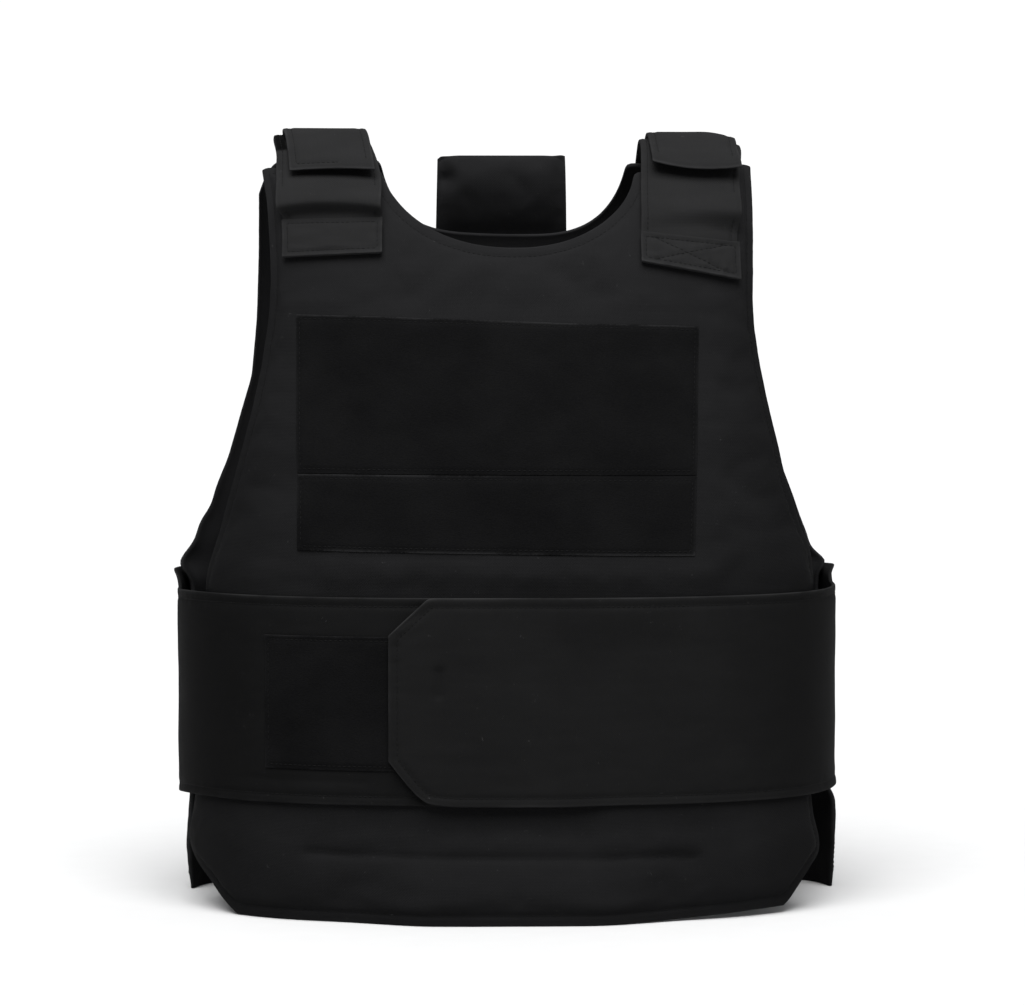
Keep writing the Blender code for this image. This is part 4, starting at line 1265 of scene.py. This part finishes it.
def make_patch(name, sizes, low, top):
    """The patch that sews the strap down, with a box of stitches and, on the right strap, a cross."""
    pattern = strip_pattern(sizes.sign, sizes.strap_x, sizes.strap_width + 2 * PATCH_OVERLAP,
                            low - PATCH_OVERLAP, top, low_shift=sizes.low_shift, shift_top=sizes.shift_top)

    def crumpled(places, edge):
        """The patch puckers across between its stitches."""
        flat = np.stack([places[:, 0], places[:, 1], np.full(len(places), 0.1 * sizes.sign)], axis=-1)
        thinner = sizes.top_thinning * (1 - smooth(0, PATCH_TOP_LENGTH, top.min() - places[:, 1]))
        return (ON_STRAP + PATCH_THICKNESS - thinner + PATCH_CRUMPLE * waves(flat, PATCH_CRUMPLE_SIZE)
                * smooth(*PATCH_CRUMPLE_EDGE, edge))

    patch, *_ = cut(f"strap_patch_{name}_cloth", pattern, on_shoulder, level(ON_STRAP), crumpled, strap_nylon,
                    # The left patch's high edge, in shade under the strap's roll, gets no painted highlight.
                    worn=(0.9, 0.0 if name == "left" else 0.2, 0.45))
    soften(patch)
    lift = ON_STRAP + PATCH_THICKNESS
    seams = [([(on_shoulder, inset(border_of(pattern), PATCH_SEAM), lift)], *PATCH_PRESSING)]
    if name == "right":
        corners = [np.array([part[place] for part in pattern])
                   for place in ((0, 0), (-1, -1), (0, -1), (-1, 0))]
        middle = sum(corners) / 4
        cross = [(on_shoulder, np.array([corner + CROSS_INSET * (middle - corner) for corner in pair]), lift)
                 for pair in (corners[:2], corners[2:])]
        seams.append((cross, *CROSS_PRESSING))
    finish_piece(patch, "strap_cloth", seams)


def make_flap(name, sizes):
    """The flap from the back that closes on the strap; its free end stands off a little."""
    free = run_at(np.array(sizes.flap_free), "front")

    def standing(places):
        """How far the free end stands off, and how far along from it each place lies."""
        across = (np.abs(places[:, 0]) - sizes.flap_x) / sizes.flap_width + 0.5
        along = places[:, 1] - edge_line(free, across)
        return edge_line(sizes.flap_lift, across) * (1 - smooth(0, FLAP_LIFT_LENGTH, along)), along

    def flap_middle(places):
        behind = smooth(STRAP_END_RUN + FLAP_STEP_START, STRAP_END_RUN + FLAP_STEP_END, places[:, 1])
        return ON_STRAP * (1 - behind) + GAP * behind + standing(places)[0]

    def flap_under(places, edge):
        return flap_middle(places) + FLAP_EDGE_THINNING * (1 - smooth(0, FLAP_EDGE_LENGTH,
                                                                      standing(places)[1]))

    def flap_over(places, edge):
        thinner = FLAP_RIM_THINNING * (1 - smooth(0, FLAP_RIM_LENGTH, edge))
        return flap_middle(places) + FLAP_THICKNESS - thinner

    pattern = strip_pattern(sizes.sign, sizes.flap_x, sizes.flap_width, free,
                            (FLAP_END_RUN, FLAP_END_RUN), slide=sizes.flap_slide)
    flap, *_ = cut(f"shoulder_flap_{name}_cloth", pattern, on_shoulder, flap_under, flap_over, strap_nylon,
                   worn=(1.3, 0.5, 0.9))
    soften(flap)
    seam = (on_shoulder, inset(border_of(pattern), FLAP_SEAM), ON_STRAP + FLAP_THICKNESS)
    finish_piece(flap, "strap_cloth", [([seam], *FLAP_PRESSING)])


for name, sizes in SHOULDERS.items():
    make_strap(name, sizes)
    make_flap(name, sizes)

# %% [markdown]
# ## Neck tab
# Behind the neck a small stuffed tab stands up from the back panel. Its cloth is turned over the top, so
# the top edge is round and the corners are pinched. It is filled by Cloth, which gives it a soft pillow,
# and a hollow is set beside its upper left corner.

# %% Neck tab
TAB_THICKNESS = 0.009
TAB_THINNING = 0.0025
TAB_EDGE_BAND = 0.012
TAB_BOTTOM = 0.432
TAB_TOP = 0.525
TAB_MIDDLE = -0.0022
TAB_SWELL_START = 0.4705
TAB_SWELL = 0.036
TAB_PILLOW = 0.0048
TAB_PILLOW_EDGE = 0.016
TAB_TOP_ROUND = 0.023
TAB_TOP_TURN = 0.0085
TAB_DIMPLE = 0.0058
DIMPLE_X = -0.039
DIMPLE_Z = 0.5072
DIMPLE_RADIUS = 0.006
TAB_BOTTOM_WIDTH = 0.096
TAB_TOP_WIDTH = 0.092
TAB_CORNER = 0.004
TAB_LEAN = 0.006
NECK_BOTTOM = 0.467
TAB_STEP = 0.0034
TAB_BASE_GAP = 0.0006
TAB_RIGHT_RISE = 0.0012
TAB_HELD_EDGE = 0.004
TAB_HELD_UP = (0.47, 0.484)
TAB_PRESSURE = 0.9
TAB_FILL_MOST = 0.0014
TAB_PRESSING = (0.0008, 0.0016, 0.0003)


def back_seat(x, height):
    """Points of the back under the tab, with its folds."""
    seat = arch_point(x, run_at(height, "back"))
    seat[:, 1] += fold_lift(seat, BACK_FOLDS)
    return seat


def neck_tab_base(x, height):
    """The tab follows the back up to the neckline, then stands up and leans back a little."""
    on_seat = back_seat(x, np.minimum(height, NECK_BOTTOM))
    rim = back_seat(x, np.full_like(height, NECK_BOTTOM))
    below = back_seat(x, np.full_like(height, NECK_BOTTOM - NORMAL_STEP))
    slope = (rim[:, 1] - below[:, 1]) / NORMAL_STEP
    free = np.maximum(0, height - NECK_BOTTOM)
    share = free / (TAB_TOP - NECK_BOTTOM)
    on_seat[:, 1] += slope * free * (1 - 0.5 * share) + TAB_LEAN * share * share
    on_seat[:, 2] = np.where(height > NECK_BOTTOM, height, on_seat[:, 2])
    return on_seat


def tab_under(places, edge):
    """The face towards the wearer: it swells out above the neckline and turns back at the top."""
    rise = np.clip((places[:, 1] - TAB_SWELL_START) / TAB_SWELL, 0, 1)
    beside = TAB_TOP_WIDTH / 2 - np.abs(places[:, 0] - TAB_MIDDLE)
    pillow = TAB_PILLOW * rise * (2 - rise) * smooth(0, TAB_PILLOW_EDGE, beside)
    side = TAB_THINNING * rise * (1 - smooth(0, TAB_EDGE_BAND, beside))
    near_top = np.clip(1 - (TAB_TOP - places[:, 1]) / TAB_TOP_ROUND, 0, 1)
    turned = TAB_TOP_TURN * (1 - np.sqrt(1 - near_top**2))
    corner = np.hypot(places[:, 0] - TAB_MIDDLE - DIMPLE_X, places[:, 1] - DIMPLE_Z) / DIMPLE_RADIUS
    return GAP + TAB_BASE_GAP + side - pillow + turned + TAB_DIMPLE * np.exp(-corner**2)


def tab_over(places, edge):
    return TAB_THICKNESS - TAB_THINNING * (1 - smooth(0, TAB_EDGE_BAND, edge))


on_tab = surface(neck_tab_base, bump=lambda points: np.zeros(len(points)), level_hem=False)
tab_across = 2 * graded(TAB_BOTTOM_WIDTH, TAB_STEP, NEAR_EDGE)[:, None] - 1.0
tab_up = graded(TAB_TOP - TAB_BOTTOM, TAB_STEP, NEAR_EDGE)[None, :]
tab_half_width = (TAB_BOTTOM_WIDTH + (TAB_TOP_WIDTH - TAB_BOTTOM_WIDTH) * tab_up) / 2
tab_corner = TAB_CORNER * (1 - np.sqrt(1 - np.clip(
    (np.abs(tab_across) * TAB_TOP_WIDTH / 2 - TAB_TOP_WIDTH / 2 + TAB_CORNER)
    / TAB_CORNER, 0.0, 0.9) ** 2))
tab_top = TAB_TOP - tab_corner * np.where(tab_across > 0.0, 0.4, 1.0)
tab_top = tab_top + TAB_RIGHT_RISE * smooth(0.75, 1.0, tab_across)
tab_pattern = (TAB_MIDDLE + tab_across * tab_half_width,
               TAB_BOTTOM + (tab_top - TAB_BOTTOM) * tab_up)
neck_tab, tab_places, _, tab_edge = cut("neck_tab_cloth", tab_pattern, on_tab, tab_under, tab_over,
                                        tab_nylon, shade_under_face=False)
tab_held = np.maximum(1 - smooth(0, TAB_HELD_EDGE, tab_edge),
                      1 - smooth(*TAB_HELD_UP, tab_places[:, 1]))
fill_pad(neck_tab, tab_held, TAB_PRESSURE, TAB_FILL_MOST)
soften(neck_tab)
tab_seam = [(TAB_MIDDLE + x, z) for x, z in ((-0.043, 0.464), (-0.043, 0.4375), (0.043, 0.4375),
                                             (0.043, 0.464), (-0.043, 0.464))]
finish_piece(neck_tab, "panel_cloth", [([(on_tab, tab_seam, TAB_THICKNESS)], *TAB_PRESSING)])

# %% [markdown]
# ## Waist wings
# Two broad wings come round the sides from the back. The left one goes under and carries a loop field, the
# right one comes over it and ends in cut corners. They are doubled nylon, stitched along a narrow hem.

# %% Wing sizes
WING_THICKNESS = 0.0028
WING_STEP = 0.0044
WING_UP_STEP = 0.004
WING_NEAR_EDGE = (0.0, 0.0008, 0.0024, 0.0042, 0.0054, 0.0066, 0.0082, 0.011)
WING_HEM = 0.006
WING_PRESSING = (0.0006, 0.002, 0.0004)
WING_BOTTOM = 0.081
WING_TOP = 0.221
WING_SIDE_DROOP = 0.006
WING_SIDE_DIP = 0.003
WING_REAR_RISE = 0.0105
WING_REAR_RISE_LENGTH = 0.025
WING_DROOP_HALF_LENGTH = 0.06
WING_BACK_END_X = 0.07
OVER_END_X = -0.082
OVER_CORNER_LENGTH = 0.0265
OVER_CORNER_TOP = 0.025
OVER_LOW_CORNER = np.array([(0.0, 0.0308), (0.0086, 0.0196), (0.0134, 0.0136), (0.0181, 0.0079),
                            (0.0257, 0.0022), (0.037, 0.0006), (0.045, 0.0)])
UNDER_END_X = 0.02
BAND_FROM_END = 0.032
OVER_RAMP_START = 0.03
OVER_RAMP_END = 0.075
OVER_CRUMPLE = 0.0018
OVER_CRUMPLE_SIZE = (0.0085, 0.006, 1.0)
OVER_CRUMPLE_IN, OVER_CRUMPLE_DOWN = 0.012, 0.018
OVER_CRUMPLE_RADIUS = 0.013
OVER_CRUMPLE_EDGE = 0.003
TOP_GAPE = 0.0035
TOP_GAPE_DEPTH = 0.035
TOP_GAPE_START = (0.01, 0.045)
TOP_GAPE_END = (0.095, 0.125)
WAIST_FIELD = ((-0.1645, 0.1045), (-0.06, 0.1045), (-0.06, 0.195), (-0.1645, 0.195))


def front_girth(x, height):
    return float(girth_of(np.array(x), np.array(height), "front"))


def back_girth(x, height):
    return math.copysign(HALF_GIRTH - abs(float(girth_of(np.array(x), np.array(height), "back"))), x)


SIDE_GIRTH = front_girth(-ring(WING_BOTTOM)[0], WING_BOTTOM)


def columns_between(start, end):
    """The girths of a wing's columns from end to end."""
    return start + (end - start) * graded(end - start, WING_STEP, WING_NEAR_EDGE)


def rear_rise(girths):
    """How much higher a wing is behind the side than in front."""
    return WING_REAR_RISE * np.clip((np.abs(girths) - abs(SIDE_GIRTH)) / WING_REAR_RISE_LENGTH, 0, 1)


def make_wing(side, girths, low, high, under, over, finish, hem_lift, band_at, mark, worn):
    """A wing, from the rise of its two edges at each girth, with a stitched hem and a band sewn behind."""
    up = graded(WING_TOP - WING_BOTTOM, WING_UP_STEP, WING_NEAR_EDGE)[None, :]
    pattern = (np.repeat(girths[:, None], up.size, axis=1), low[:, None] + (high - low)[:, None] * up)
    wing, *_ = cut(f"waist_wing_{side}_cloth", pattern, on_front, under, over, finish, worn=worn)
    soften(wing)
    band = [(band_at, WING_BOTTOM + WING_HEM), (band_at, WING_TOP - WING_HEM)]
    hem = inset(border_of(pattern), WING_HEM)
    seams = [(on_front, hem, hem_lift), (on_front, band, GAP + WING_THICKNESS)]
    ends, *pressing = mark
    finish_piece(wing, "wing_cloth", [(seams, *WING_PRESSING)],
                 [([(on_front, crease("front", *ends), hem_lift)], *pressing)])


# %% Left wing and its field
under_back = back_girth(-WING_BACK_END_X, WING_TOP)
under_girths = columns_between(under_back, front_girth(UNDER_END_X, WING_TOP))
near_side = np.exp(-((under_girths - SIDE_GIRTH) / WING_DROOP_HALF_LENGTH) ** 2)
make_wing("left", under_girths, WING_BOTTOM - WING_SIDE_DROOP * near_side,
          WING_TOP + rear_rise(under_girths) - WING_SIDE_DIP * near_side,
          level(GAP), level(GAP + WING_THICKNESS), under_wing_nylon,
          hem_lift=GAP + WING_THICKNESS, band_at=under_back + BAND_FROM_END,
          mark=(((-0.178, 0.0972), (-0.098, 0.0968)), 0.0008, 0.0012),
          worn=(1.2, 1.9, 0.8))
make_field("waist_field", WAIST_FIELD, lift=2 * GAP + WING_THICKNESS, flat=(0.1125, 0.0905),
           rests_on="waist_wing_left_cloth", worn=(0.35, 0.35, 0.2))


# %% Right wing
def over_under(places, edge):
    """The right wing lies on the left one, then comes down to the panel; its top edge gapes a little."""
    girth, rise = places[:, 0], places[:, 1]
    on_wing = 3 * GAP + WING_THICKNESS + LOOP_THICKNESS
    down = smooth(OVER_RAMP_START, OVER_RAMP_END, girth)
    along = smooth(*TOP_GAPE_START, girth) * (1 - smooth(*TOP_GAPE_END, girth))
    gape = TOP_GAPE * along * smooth(WING_TOP - TOP_GAPE_DEPTH, WING_TOP, rise)
    return on_wing * (1 - down) + GAP * down + gape


def over_over(places, edge):
    """The outer face, crumpled a little at the high corner by much opening and closing."""
    from_corner = np.hypot(places[:, 0] - over_end - OVER_CRUMPLE_IN,
                           places[:, 1] - WING_TOP + OVER_CRUMPLE_DOWN) / OVER_CRUMPLE_RADIUS
    flat = np.stack([places[:, 0], places[:, 1], np.zeros(len(places))], axis=-1)
    crumple = OVER_CRUMPLE * waves(flat, OVER_CRUMPLE_SIZE) * np.exp(-from_corner**2)
    return over_under(places, edge) + WING_THICKNESS + crumple * smooth(0, OVER_CRUMPLE_EDGE, edge)


over_end = front_girth(OVER_END_X, WING_TOP)
over_back = back_girth(WING_BACK_END_X, WING_TOP)
over_girths = columns_between(over_end, over_back)
over_girths[np.abs(over_girths - over_end - OVER_CORNER_LENGTH).argmin()] = over_end + OVER_CORNER_LENGTH
from_end = over_girths - over_end
corner_share = np.clip(1 - from_end / OVER_CORNER_LENGTH, 0, 1)
make_wing("right", over_girths, WING_BOTTOM + np.interp(from_end, *OVER_LOW_CORNER.T),
          WING_TOP + rear_rise(over_girths) - OVER_CORNER_TOP * corner_share, over_under, over_over,
          wing_nylon, hem_lift=3 * GAP + 2 * WING_THICKNESS, band_at=over_back - BAND_FROM_END,
          mark=(((-0.0484, 0.172), (-0.0484, 0.156)), 0.0022, 0.0026),
          worn=(1.4, 1.9, 1.0))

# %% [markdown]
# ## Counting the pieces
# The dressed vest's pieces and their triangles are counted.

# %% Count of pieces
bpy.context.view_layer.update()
shown_pieces = [o for o in bpy.data.objects if o.get("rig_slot")]
print("pieces:", len(shown_pieces), "triangles:", sum(
    len(face.vertices) - 2 for piece in shown_pieces for face in piece.data.polygons))
